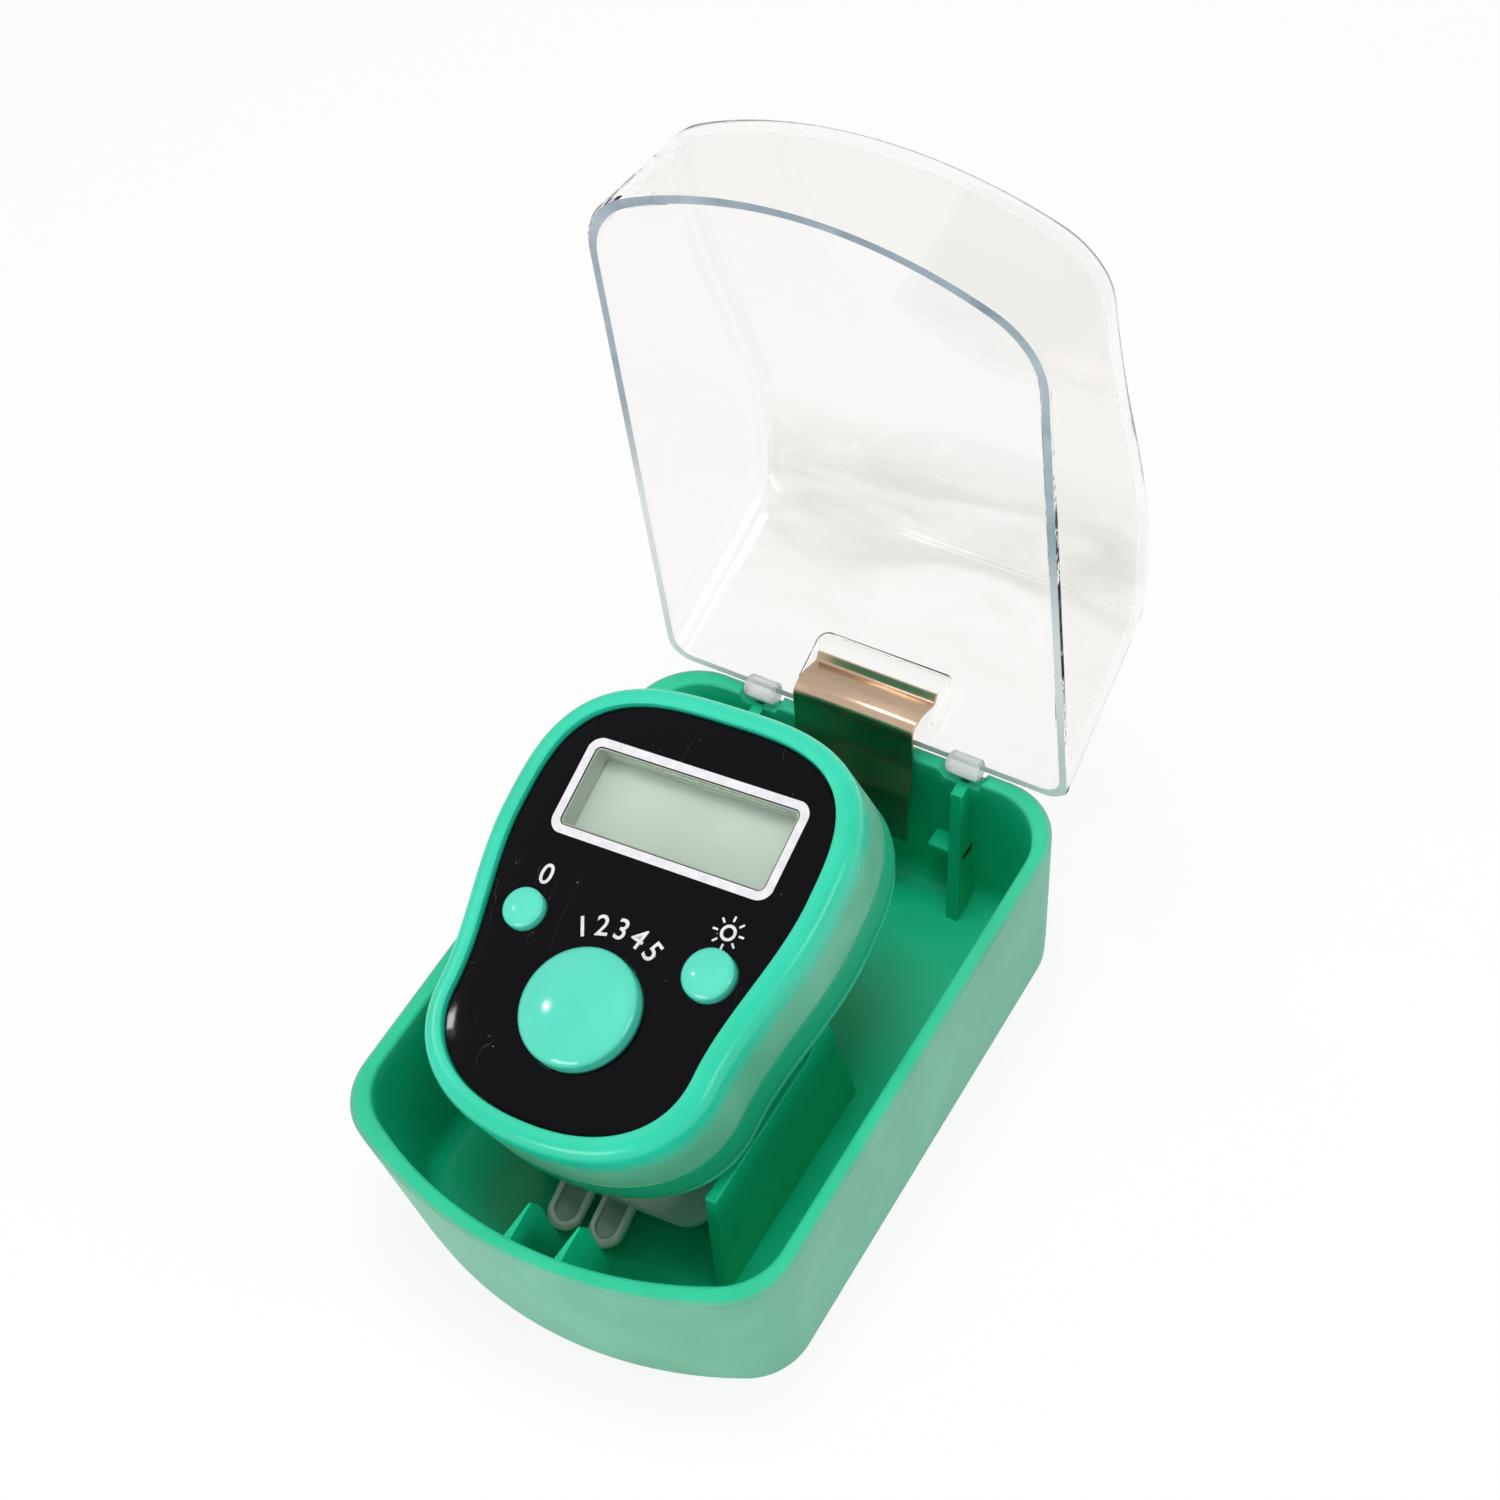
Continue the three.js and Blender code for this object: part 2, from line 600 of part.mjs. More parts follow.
function frontShell() {
  const edge = BEZEL_EDGE.map(([across, down]) => (
    [faceAt(BEZEL_WIDTH * across), BEZEL_RISE - BEZEL_ROUND * down]));
  const outside = loft([faceAt(BEZEL_WIDTH), shellBottom], ...edge);
  const pocket = prism(faceAt(FIT), deckTop, BEZEL_RISE + CUT_OVERRUN);
  const cavity = prism(faceAt(cavityOffset), shellBottom - CUT_OVERRUN, deckBottom);
  const window = windowBlock(0, deckBottom - CUT_OVERRUN, deckTop + CUT_OVERRUN);
  const holes = buttonHoles(deckBottom - CUT_OVERRUN, deckTop + CUT_OVERRUN);
  const posts = bosses.map(([x, y]) => disc(x, y, BOSS_RADIUS, shellBottom, (deckTop + deckBottom) / 2));
  const pilots = bosses.map(([x, y]) => (
    disc(x, y, PILOT_RADIUS, shellBottom - CUT_OVERRUN, shellBottom + PILOT_DEPTH, COARSE_SEGMENTS)));
  return cut(join(cut(outside, pocket, cavity, window, ...holes), ...posts), ...pilots);
}

function facePlate() {
  const below = -FACE_THICKNESS - CUT_OVERRUN;
  const window = windowBlock(LENS_MARGIN + FIT, below, CUT_OVERRUN);
  return cut(prism(face, -FACE_THICKNESS, 0), window, ...buttonHoles(below, CUT_OVERRUN));
}

function windowLens() {
  return windowBlock(LENS_MARGIN, -FACE_THICKNESS, LENS_THICKNESS - FACE_THICKNESS);
}

function displayGlass() {
  return block(-GLASS_HALF_WIDTH, GLASS_HALF_WIDTH, DISPLAY_CENTRE - GLASS_HALF_HEIGHT,
    DISPLAY_CENTRE + GLASS_HALF_HEIGHT, glassBottom, glassTop);
}

const elastomerRear = DISPLAY_CENTRE - GLASS_HALF_HEIGHT + ELASTOMER_WIDTH;

function lightGuide() {
  return block(GUIDE_INSET - GLASS_HALF_WIDTH, GLASS_HALF_WIDTH - GUIDE_INSET, elastomerRear + LOOSE_FIT,
    DISPLAY_CENTRE + GLASS_HALF_HEIGHT, guideBottom, guideTop);
}

function elastomerStrip() {
  return block(-GLASS_HALF_WIDTH, GLASS_HALF_WIDTH, elastomerRear - ELASTOMER_WIDTH, elastomerRear,
    guideBottom, guideTop);
}

function backlightLamp(side) {
  const [width, length, height] = LAMP_SIZE;
  const middle = side * (GLASS_HALF_WIDTH - GUIDE_INSET + LOOSE_FIT + width / 2);
  return block(middle - width / 2, middle + width / 2,
    DISPLAY_CENTRE - length / 2, DISPLAY_CENTRE + length / 2, guideBottom, guideBottom + height);
}

function circuitBoard() {
  const holes = bosses.map(([x, y]) => (
    disc(x, y, BOSS_RADIUS + LOOSE_FIT, boardBottom - CUT_OVERRUN, boardTop + CUT_OVERRUN)));
  return cut(prism(faceAt(cavityOffset - LOOSE_FIT), boardBottom, boardTop), ...holes);
}

function chipBlob() {
  const steps = ARC_STEPS;
  const base = boardBottom - FIT;
  const profile = Array.from({ length: steps + 1 }, (_, i) => {
    const turn = i / steps * Math.PI / 2;
    return [BLOB_RADIUS * Math.sin(turn), base - BLOB_HEIGHT * Math.cos(turn)];
  });
  return turned([...profile, [0, base]], 0, BLOB_PLACE, PLAIN_SEGMENTS);
}

function buttonCell() {
  return turned([
    [0, cellBottom],
    [CELL_RADIUS - CELL_BEVEL, cellBottom],
    [CELL_RADIUS, cellBottom + CELL_BEVEL],
    [CELL_RADIUS, cellTop - CELL_CAN_DEPTH],
    [CELL_CAP_RADIUS, cellTop - CELL_SEAL_DEPTH],
    [CELL_CAP_EDGE, cellTop],
    [0, cellTop],
  ], 0, CELL_PLACE, FINE_SEGMENTS);
}

function upperContact() {
  const reach = UPPER_CONTACT_LENGTH / 2;
  return block(-CONTACT_WIDTH / 2, CONTACT_WIDTH / 2, CELL_PLACE - reach, CELL_PLACE + reach,
    cellTop + FIT, cellTop + FIT + CONTACT_THICKNESS);
}

// Strip under the cell with a leg that rises to the board behind the cell.
function lowerContact() {
  const legY = CELL_PLACE + CELL_RADIUS + LOOSE_FIT;
  return profileAlongX([
    [CELL_PLACE - LOWER_CONTACT_REACH, contactBottom],
    [legY + CONTACT_THICKNESS, contactBottom],
    [legY + CONTACT_THICKNESS, boardBottom - FIT],
    [legY, boardBottom - FIT],
    [legY, contactBottom + CONTACT_THICKNESS],
    [CELL_PLACE - LOWER_CONTACT_REACH, contactBottom + CONTACT_THICKNESS],
  ], -CONTACT_WIDTH / 2, CONTACT_WIDTH / 2);
}

function buttonCap({ x, y, radius, rise, segments }) {
  const shoulder = rise * CAP_STRAIGHT_SHARE;
  const crown = Array.from({ length: ARC_STEPS + 1 }, (_, i) => {
    const turn = i / ARC_STEPS * Math.PI / 2;
    return [radius * Math.cos(turn), shoulder + (rise - shoulder) * Math.sin(turn)];
  });
  crown[ARC_STEPS][0] = 0;
  return turned([
    [0, flangeBottom],
    [radius + FLANGE_WIDTH, flangeBottom],
    [radius + FLANGE_WIDTH, flangeTop],
    [radius, flangeTop],
    ...crown,
  ], x, y, segments);
}

function rubberDome({ x, y, radius, segments }) {
  const top = flangeBottom - FIT;
  const base = boardTop + FIT;
  const topRadius = radius * DOME_TOP_SHARE;
  const footRadius = radius * DOME_FOOT_SHARE;
  return turned([
    [0, top - DOME_WALL],
    [topRadius - DOME_WALL, top - DOME_WALL],
    [footRadius - DOME_WALL, base],
    [footRadius, base],
    [topRadius, top],
    [0, top],
  ], x, y, segments);
}

// Bands of the strap. Turn is the angle round the ring from its lowest point, positive to the right.

const longBand = {
  side: 1,
  halfWidth: STRAP_RING_HALF_WIDTH - STRAP_LAYER_STEP,
  drop: STRAP_RING_DROP - STRAP_LAYER_STEP,
  endTurn: STRAP_LONG_END_TURN,
};
const shortBand = {
  side: -1,
  halfWidth: STRAP_RING_HALF_WIDTH + STRAP_LAYER_STEP,
  drop: STRAP_RING_DROP + STRAP_LAYER_STEP,
  endTurn: STRAP_SHORT_END_TURN,
};

function ringPoint({ halfWidth, drop }, turn) {
  return [halfWidth * Math.sin(turn), STRAP_RING_CENTRE - drop * Math.cos(turn)];
}

function armX(band) {
  return band.side * band.halfWidth * Math.sin(STRAP_ARM_TURN * DEGREE);
}

const barBottom = shellBottom;

// Stations along a band: its middle line and its front and rear edges.
function bandStations(band) {
  const start = band.side * STRAP_ARM_TURN * DEGREE;
  const end = band.endTurn * DEGREE;
  const steps = Math.ceil(Math.abs(end - start) / (BAND_STEP * DEGREE));
  const arms = [[armX(band), barBottom + BAR_HEIGHT / 2], [armX(band), coverBottom - STRAP_THICKNESS]];
  const arch = Array.from({ length: steps + 1 }, (_, i) => {
    const turn = start + (end - start) * i / steps;
    const spread = THREE.MathUtils.smoothstep(Math.abs(start - turn), 0, Math.PI / 2);
    return { at: ringPoint(band, turn), spread };
  });
  return [...arms.map((at) => ({ at, spread: 0 })), ...arch].map(({ at, spread }) => ({
    at,
    front: THREE.MathUtils.lerp(STRAP_SLOT_FRONT, STRAP_FRONT, spread),
    rear: THREE.MathUtils.lerp(STRAP_SLOT_REAR, STRAP_REAR, spread),
  }));
}

function strapBand(band) {
  const stations = bandStations(band);
  const outline = stripOutline(stations.map(({ at }) => at), STRAP_THICKNESS);
  const count = stations.length;
  const positions = stations.flatMap(({ front, rear }, i) => {
    const [x0, z0] = outline[i];
    const [x1, z1] = outline[2 * count - 1 - i];
    return [x0, front, z0, x1, front, z1, x1, rear, z1, x0, rear, z0];
  });
  const index = [];
  for (let i = 0; i + 1 < count; i += 1) {
    for (let side = 0; side < 4; side += 1) {
      const a = 4 * i + side;
      const b = 4 * i + (side + 1) % 4;
      index.push(a, b + 4, a + 4, a, b, b + 4);
    }
  }
  const last = 4 * (count - 1);
  index.push(0, 2, 1, 0, 3, 2, last, last + 1, last + 2, last, last + 2, last + 3);
  const geometry = new THREE.BufferGeometry();
  geometry.setAttribute('position', new THREE.Float32BufferAttribute(positions, 3));
  geometry.setIndex(index);
  const bar = block(armX(band) - BAR_WIDTH / 2, armX(band) + BAR_WIDTH / 2, STRAP_SLOT_FRONT, STRAP_SLOT_REAR,
    barBottom, barBottom + BAR_HEIGHT);
  return toSolid(geometry).add(bar);
}

// Short tabs that stand out from the front edge of the long band.
function strapTab(turn) {
  const [x, z] = ringPoint(longBand, turn * DEGREE);
  const tip = arc(0, 0, TAB_WIDTH / 2, -Math.PI, 0, ARC_STEPS);
  const outline = new THREE.Shape([
    ...shifted(tip, 0, TAB_WIDTH / 2 - TAB_LENGTH),
    new THREE.Vector2(TAB_WIDTH / 2, TAB_WIDTH / 2),
    new THREE.Vector2(-TAB_WIDTH / 2, TAB_WIDTH / 2),
  ]);
  const tab = new THREE.ExtrudeGeometry(outline, { depth: TAB_THICKNESS, bevelEnabled: false });
  tab.translate(0, 0, -TAB_THICKNESS / 2);
  const climb = longBand.drop * Math.sin(turn * DEGREE);
  tab.rotateY(-Math.atan2(climb, longBand.halfWidth * Math.cos(turn * DEGREE)));
  tab.translate(x, STRAP_FRONT, z);
  return toSolid(tab);
}

function strapLong() {
  return join(strapBand(longBand), ...TAB_TURNS.map(strapTab));
}

function strapShort() {
  return strapBand(shortBand);
}

function backCover() {
  const plate = loft(
    [faceAt(BEZEL_WIDTH - COVER_INSET - COVER_BEVEL), coverBottom],
    [faceAt(BEZEL_WIDTH - COVER_INSET), coverBottom + COVER_BEVEL],
    [faceAt(BEZEL_WIDTH - COVER_INSET), coverTop],
  );
  const lipFace = cavityOffset - LOOSE_FIT;
  const lipOuter = prism(faceAt(lipFace), coverTop - COVER_THICKNESS / 2, coverTop + LIP_HEIGHT);
  const below = coverBottom - CUT_OVERRUN;
  const above = coverTop + LIP_HEIGHT + CUT_OVERRUN;
  const lipInner = prism(faceAt(lipFace - LIP_THICKNESS), coverTop, above);
  const postGaps = bosses.map(([x, y]) => disc(x, y, BOSS_RADIUS + LOOSE_FIT, coverTop, above));
  const screwHoles = bosses.flatMap(([x, y]) => [
    disc(x, y, SCREW_RADIUS + BUTTON_CLEARANCE, below, coverTop + CUT_OVERRUN, COARSE_SEGMENTS),
    disc(x, y, SCREW_HEAD_RADIUS + BUTTON_CLEARANCE, below, coverBottom + SCREW_HEAD_HEIGHT + FIT),
  ]);
  const strapGap = (band, width, bottom) => block(
    armX(band) - width / 2 - BUTTON_CLEARANCE, armX(band) + width / 2 + BUTTON_CLEARANCE,
    STRAP_SLOT_FRONT - BUTTON_CLEARANCE, STRAP_SLOT_REAR + BUTTON_CLEARANCE, bottom, above);
  const slots = [longBand, shortBand].map((band) => strapGap(band, STRAP_THICKNESS, below));
  const barGaps = [longBand, shortBand].map((band) => strapGap(band, BAR_WIDTH, coverTop));
  return cut(join(plate, cut(lipOuter, lipInner)), ...postGaps, ...screwHoles, ...slots, ...barGaps);
}

// Screw with a crossed slot, its head in the back cover and its shank in a boss of the front shell.
function coverScrew([x, y]) {
  const screw = turned([
    [0, coverBottom],
    [SCREW_HEAD_RADIUS, coverBottom],
    [SCREW_HEAD_RADIUS, coverBottom + SCREW_HEAD_HEIGHT],
    [SCREW_RADIUS, coverBottom + SCREW_HEAD_HEIGHT],
    [SCREW_RADIUS, coverBottom + SCREW_HEAD_HEIGHT + SCREW_LENGTH - SCREW_RADIUS],
    [0, coverBottom + SCREW_HEAD_HEIGHT + SCREW_LENGTH],
  ], x, y, PLAIN_SEGMENTS);
  const slot = (halfX, halfY) => block(x - halfX, x + halfX, y - halfY, y + halfY,
    coverBottom - CUT_OVERRUN, coverBottom + SCREW_SLOT_DEPTH);
  return cut(screw,
    slot(SCREW_SLOT_REACH, SCREW_SLOT_WIDTH / 2),
    slot(SCREW_SLOT_WIDTH / 2, SCREW_SLOT_REACH));
}

// Materials and scene graph

function material(color, roughness, metalness = 0, opacity = 1) {
  return new THREE.MeshStandardMaterial({ color, roughness, metalness, opacity, transparent: opacity < 1 });
}

const greenPlastic = material(0x22c79c, 0.4);
const clearPlastic = material(0xeef2f5, 0.1, 0, 0.35);
const springSteel = material(0xb9b6ad, 0.2, 1);
const blackFace = material(0x0b0a0d, 0.1);
const displayGrey = material(0xb5c3af, 0.3);
const boardGreen = material(0x1f6b3a, 0.5);
const blackEpoxy = material(0x15151a, 0.45);
const rubberGrey = material(0x8f9290, 0.8);
const brass = material(0xc9b375, 0.35, 1);
const cellSteel = material(0xc8c9cc, 0.25, 1);
const lampWhite = material(0xf3f1dc, 0.35);
const softSilicone = material(0xd9e0da, 0.35, 0, 0.6);

function mesh(name, solid, look) {
  const piece = new THREE.Mesh(toGeometry(solid), look);
  piece.name = name;
  return piece;
}

const counter = new THREE.Group();
counter.rotation.set(COUNTER_PITCH * DEGREE, COUNTER_ROLL * DEGREE, COUNTER_YAW * DEGREE, 'ZXY');
counter.position.set(...COUNTER_PLACE);
counter.add(
  mesh('front_shell', frontShell(), greenPlastic),
  mesh('face_plate', facePlate(), blackFace),
  mesh('window_lens', windowLens(), clearPlastic),
  mesh('display_glass', displayGlass(), displayGrey),
  mesh('light_guide', lightGuide(), lampWhite),
  mesh('backlight_lamp_left', backlightLamp(-1), lampWhite),
  mesh('backlight_lamp_right', backlightLamp(1), lampWhite),
  mesh('elastomer_strip', elastomerStrip(), rubberGrey),
  mesh('circuit_board', circuitBoard(), boardGreen),
  mesh('chip_blob', chipBlob(), blackEpoxy),
  mesh('button_cell', buttonCell(), cellSteel),
  mesh('upper_contact', upperContact(), brass),
  mesh('lower_contact', lowerContact(), brass),
  mesh('count_button', buttonCap(buttons.count), greenPlastic),
  mesh('reset_button', buttonCap(buttons.reset), greenPlastic),
  mesh('light_button', buttonCap(buttons.light), greenPlastic),
  mesh('count_dome', rubberDome(buttons.count), rubberGrey),
  mesh('reset_dome', rubberDome(buttons.reset), rubberGrey),
  mesh('light_dome', rubberDome(buttons.light), rubberGrey),
  mesh('back_cover', backCover(), greenPlastic),
  mesh('cover_screw_head_end', coverScrew(bosses[0]), cellSteel),
  mesh('cover_screw_left', coverScrew(bosses[1]), cellSteel),
  mesh('cover_screw_right', coverScrew(bosses[2]), cellSteel),
  mesh('strap_long', strapLong(), softSilicone),
  mesh('strap_short', strapShort(), softSilicone),
);

const lidMesh = mesh('lid', lid(), clearPlastic);
lidMesh.position.set(0, hingeY, hingeZ);
lidMesh.rotation.x = -LID_OPEN_ANGLE * DEGREE;

const group = new THREE.Group();
group.add(
  mesh('tray', tray(), greenPlastic),
  mesh('hinge_spring', hingeSpring(), springSteel),
  lidMesh,
  counter,
);

export default group;
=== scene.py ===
from math import atan, atan2, cos, degrees, pi, radians, sin, sqrt

import bmesh
import bpy
import numpy as np
from mathutils import Matrix, Vector


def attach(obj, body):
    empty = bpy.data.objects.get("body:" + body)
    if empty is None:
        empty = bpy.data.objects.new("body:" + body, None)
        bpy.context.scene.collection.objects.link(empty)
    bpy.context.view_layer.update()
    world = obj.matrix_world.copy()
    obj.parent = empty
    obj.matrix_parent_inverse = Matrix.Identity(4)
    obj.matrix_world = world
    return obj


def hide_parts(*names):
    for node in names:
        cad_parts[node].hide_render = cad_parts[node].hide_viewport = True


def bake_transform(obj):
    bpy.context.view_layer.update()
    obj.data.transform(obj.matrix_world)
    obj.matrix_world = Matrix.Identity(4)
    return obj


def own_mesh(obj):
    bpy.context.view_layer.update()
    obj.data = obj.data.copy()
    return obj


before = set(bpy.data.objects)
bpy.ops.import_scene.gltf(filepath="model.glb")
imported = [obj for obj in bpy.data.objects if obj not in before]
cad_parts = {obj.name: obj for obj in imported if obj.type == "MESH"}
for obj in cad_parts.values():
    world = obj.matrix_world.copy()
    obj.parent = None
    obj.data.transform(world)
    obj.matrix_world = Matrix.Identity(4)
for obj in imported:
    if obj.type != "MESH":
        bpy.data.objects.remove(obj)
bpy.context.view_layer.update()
print("frame loaded:", len(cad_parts), "nodes")

mm = 0.001  # every size below is in millimetres; meshes are written in metres
quarterTurn = pi / 2


# Curves and outlines

# Points on a smooth curve through the given ones: each stretch is a cubic whose slope at a point
# runs along the line between that point's neighbours.
def smoothCurve(points, steps):
    points = np.asarray(points, float)
    ends = np.vstack([2 * points[0] - points[1], points, 2 * points[-1] - points[-2]])
    share = np.linspace(0, 1, steps, endpoint=False)[None, :, None]
    before, start, end, after = (ends[i:len(ends) - 3 + i, None, :] for i in range(4))
    curve = 0.5 * (2 * start + (end - before) * share
                   + (2 * before - 5 * start + 4 * end - after) * share ** 2
                   + (3 * start - before - 3 * end + after) * share ** 3)
    return np.vstack([curve.reshape(-1, points.shape[1]), points[-1:]])


# The same closed line with its points an even distance apart.
def evenlySpaced(points, count):
    closed = np.vstack([points, points[:1]])
    walked = np.concatenate([[0], np.cumsum(np.linalg.norm(np.diff(closed, axis=0), axis=1))])
    stops = np.linspace(0, walked[-1], count, endpoint=False)
    return np.stack([np.interp(stops, walked, closed[:, axis]) for axis in range(2)], -1)


# Each point but the ends drawn towards the mean of its neighbours, a number of times.
def relaxed(line, times):
    for _ in range(times):
        line[1:-1] = (line[:-2] + line[1:-1] * 2 + line[2:]) / 4
    return line


# Outward normals of a closed counter-clockwise line, square to the line between the neighbours.
def outwardNormals(points):
    along = np.roll(points, -1, axis=0) - np.roll(points, 1, axis=0)
    along /= np.linalg.norm(along, axis=1, keepdims=True)
    return np.stack([along[:, 1], -along[:, 0]], -1)


# Both coordinates of a strip's rings: each point of the flat line moved along the line's left normal
# by each depth of the section.
def sweep(line, depths):
    along = np.gradient(line, axis=0)
    along /= np.linalg.norm(along, axis=1, keepdims=True)
    return line[:, :1] - along[:, 1:] * depths, line[:, 1:] + along[:, :1] * depths


def arcPoints(x, y, radius, start, end, steps):
    turn = np.linspace(start, end, steps, endpoint=False)
    return np.stack([x + radius * np.cos(turn), y + radius * np.sin(turn)], -1)


def disc(x, y, radius, count=96):
    return arcPoints(x, y, radius, 0, 2 * pi, count)


def straightPoints(start, end, steps):
    share = np.linspace(0, 1, steps, endpoint=False)[:, None]
    return np.asarray(start) * (1 - share) + np.asarray(end) * share


# Plan of the box: straight sides and rear, round corners, and a front that is an arc of one circle.
# The same steps always give the same number of points, so plans of other sizes can be joined to it.
def boxPlan(width, length, bulge, rearRadius, frontRadius, steps):
    half, rear = width / 2, length / 2
    arcRadius = (half ** 2 + bulge ** 2) / (2 * bulge)
    arcMiddle = arcRadius - rear
    cornerX = half - frontRadius
    cornerY = arcMiddle - sqrt((arcRadius - frontRadius) ** 2 - cornerX ** 2)
    turn = atan2(cornerY - arcMiddle, cornerX)
    corner, side, back, front = steps
    return np.vstack([
        straightPoints((half, cornerY), (half, rear - rearRadius), side),
        arcPoints(half - rearRadius, rear - rearRadius, rearRadius, 0, quarterTurn, corner),
        straightPoints((half - rearRadius, rear), (rearRadius - half, rear), back),
        arcPoints(rearRadius - half, rear - rearRadius, rearRadius, quarterTurn, pi, corner),
        straightPoints((-half, rear - rearRadius), (-half, cornerY), side),
        arcPoints(-cornerX, cornerY, frontRadius, pi, pi - turn, corner),
        arcPoints(0, arcMiddle, arcRadius, -pi - turn, turn, front),
        arcPoints(cornerX, cornerY, frontRadius, turn, 0, corner),
    ])


def roundedRectangle(halfWidth, halfHeight, radius, steps=8):
    x, y = halfWidth - radius, halfHeight - radius
    corners = [(x, y), (-x, y), (-x, -y), (x, -y)]
    return np.vstack([arcPoints(cx, cy, radius, i * quarterTurn, (i + 1) * quarterTurn, steps)
                      for i, (cx, cy) in enumerate(corners)])


# Meshes

capSteps = 6


# Quads of a grid of rows by columns, whose last column joins the first one.
def gridQuads(rows, columns):
    row = np.arange(rows - 1)[:, None] * columns
    column = np.arange(columns)[None, :]
    beside = (column + 1) % columns
    quads = np.stack([row + column, row + beside, row + columns + beside, row + columns + column], -1)
    return quads.reshape(-1, 4)


# Rings of flat lines, each at its own height.
def ringGrid(lines, heights):
    return np.array([np.column_stack([line, np.full(len(line), height)])
                     for line, height in zip(lines, heights)])


# Rows that shrink a ring to its middle, to close a grid without a hole.
def capRows(ring, steps):
    share = np.linspace(0, 1, steps + 1)[1:, None, None]
    return ring[None] * (1 - share) + ring.mean(axis=0)[None, None] * share


def closedGrid(rings, steps=capSteps):
    return np.concatenate([capRows(rings[0], steps)[::-1], rings, capRows(rings[-1], steps)])


# Grid of a profile of (radius, height) points turned about an upright axis at a place.
def turnedGrid(profile, columns, x=0.0, y=0.0):
    profile = np.asarray(profile, float)
    turn = np.linspace(0, 2 * pi, columns, endpoint=False)
    radius = profile[:, :1]
    height = np.broadcast_to(profile[:, 1:], (len(profile), columns))
    return np.dstack([radius * np.cos(turn), radius * np.sin(turn), height]) + (x, y, 0)


def addObject(name, data):
    made = bpy.data.objects.new(name, data)
    bpy.context.scene.collection.objects.link(made)
    return made


# Matrix that turns by each pair of degrees and axis, the last pair first, and then moves to the place.
def placed(place, *turns):
    matrix = Matrix.Translation(Vector(place) * mm)
    for angle, axis in turns:
        matrix = matrix @ Matrix.Rotation(radians(angle), 4, axis)
    return matrix


# Merges what lies on one point, turns the faces outwards and shades the round parts smooth.
def finishMesh(name, mesh, sharpAngle):
    shape = bmesh.new()
    shape.from_mesh(mesh)
    bmesh.ops.remove_doubles(shape, verts=shape.verts, dist=1e-7)
    bmesh.ops.recalc_face_normals(shape, faces=shape.faces)
    shape.to_mesh(mesh)
    shape.free()
    mesh.shade_smooth()
    mesh.set_sharp_from_angle(angle=radians(sharpAngle))
    return addObject(name, mesh)


# One mesh object from closed grids in millimetres; traits are values for each point, by name.
def makePiece(name, grids, sharpAngle=30, traits=None):
    points, quads, count = [], [], 0
    for grid in grids:
        points.append(grid.reshape(-1, 3))
        quads.append(gridQuads(*grid.shape[:2]) + count)
        count += grid.shape[0] * grid.shape[1]
    mesh = bpy.data.meshes.new(name)
    mesh.from_pydata((np.vstack(points) * mm).tolist(), [], np.vstack(quads).tolist())
    for label, values in (traits or {}).items():
        mesh.attributes.new(label, "FLOAT", "POINT").data.foreach_set("value", np.ravel(values))
    return finishMesh(name, mesh, sharpAngle)


# Upright prism inside a closed outline, as a cutter or a plain block.
def makePrism(name, outline, bottom, top):
    return makePiece(name, [closedGrid(ringGrid([outline, outline], [bottom, top]), 1)])


# Flat profile of (y, z) points carried along X, with its edges rounded by a bevel.
def makeSlab(name, profile, x0, x1, bevel):
    count = len(profile)
    points = [(x * mm, y * mm, z * mm) for x in (x0, x1) for y, z in profile]
    sides = [(i, (i + 1) % count, (i + 1) % count + count, i + count) for i in range(count)]
    ends = [tuple(reversed(range(count))), tuple(range(count, 2 * count))]
    mesh = bpy.data.meshes.new(name)
    mesh.from_pydata(points, [], sides + ends)
    slab = finishMesh(name, mesh, 30)
    rounding = slab.modifiers.new("edges", "BEVEL")
    rounding.width = bevel * mm
    rounding.segments = 3
    rounding.harden_normals = True
    return slab


# The mesh of an object as its modifiers or its text leave it.
def finalMesh(source):
    bpy.context.view_layer.update()
    return bpy.data.meshes.new_from_object(source.evaluated_get(bpy.context.evaluated_depsgraph_get()))


# Cuts the cutters out of a piece and removes them.
def cutOut(piece, cutters, sharpAngle):
    for cutter in cutters:
        cut = piece.modifiers.new("cut", "BOOLEAN")
        cut.operation = "DIFFERENCE"
        cut.solver = "EXACT"
        cut.object = cutter
    result = finalMesh(piece)
    piece.modifiers.clear()
    piece.data = result
    result.set_sharp_from_angle(angle=radians(sharpAngle))
    for cutter in cutters:
        bpy.data.objects.remove(cutter)


def dress(piece, material, body, slot, *nodes):
    piece.data.materials.clear()
    piece.data.materials.append(material)
    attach(piece, body)
    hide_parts(*nodes)
    return piece


# Nodes and groups

def linear(red, green, blue):
    values = np.array((red, green, blue)) / 255
    bright = np.where(values <= 0.04045, values / 12.92, ((values + 0.055) / 1.055) ** 2.4)
    return (*bright.tolist(), 1.0)


def isSocket(value):
    return isinstance(value, bpy.types.NodeSocket)


def addNode(tree, kind, sockets=None, **settings):
    node = tree.nodes.new(kind)
    for name, value in settings.items():
        setattr(node, name, value)
    for name, value in (sockets or {}).items():
        if isSocket(value):
            tree.links.new(value, node.inputs[name])
        else:
            node.inputs[name].default_value = value
    return node.outputs


# Each function below puts its node in the tree that the socket it is given belongs to.
def arithmetic(operation, first, second=0.5):
    tree = (first if isSocket(first) else second).id_data
    return addNode(tree, "ShaderNodeMath", {0: first, 1: second}, operation=operation)[0]


def product(first, second):
    return arithmetic("MULTIPLY", first, second)


def remap(value, low, high, newLow=0.0, newHigh=1.0):
    sockets = {"Value": value, "From Min": low, "From Max": high, "To Min": newLow, "To Max": newHigh}
    return addNode(value.id_data, "ShaderNodeMapRange", sockets)[0]


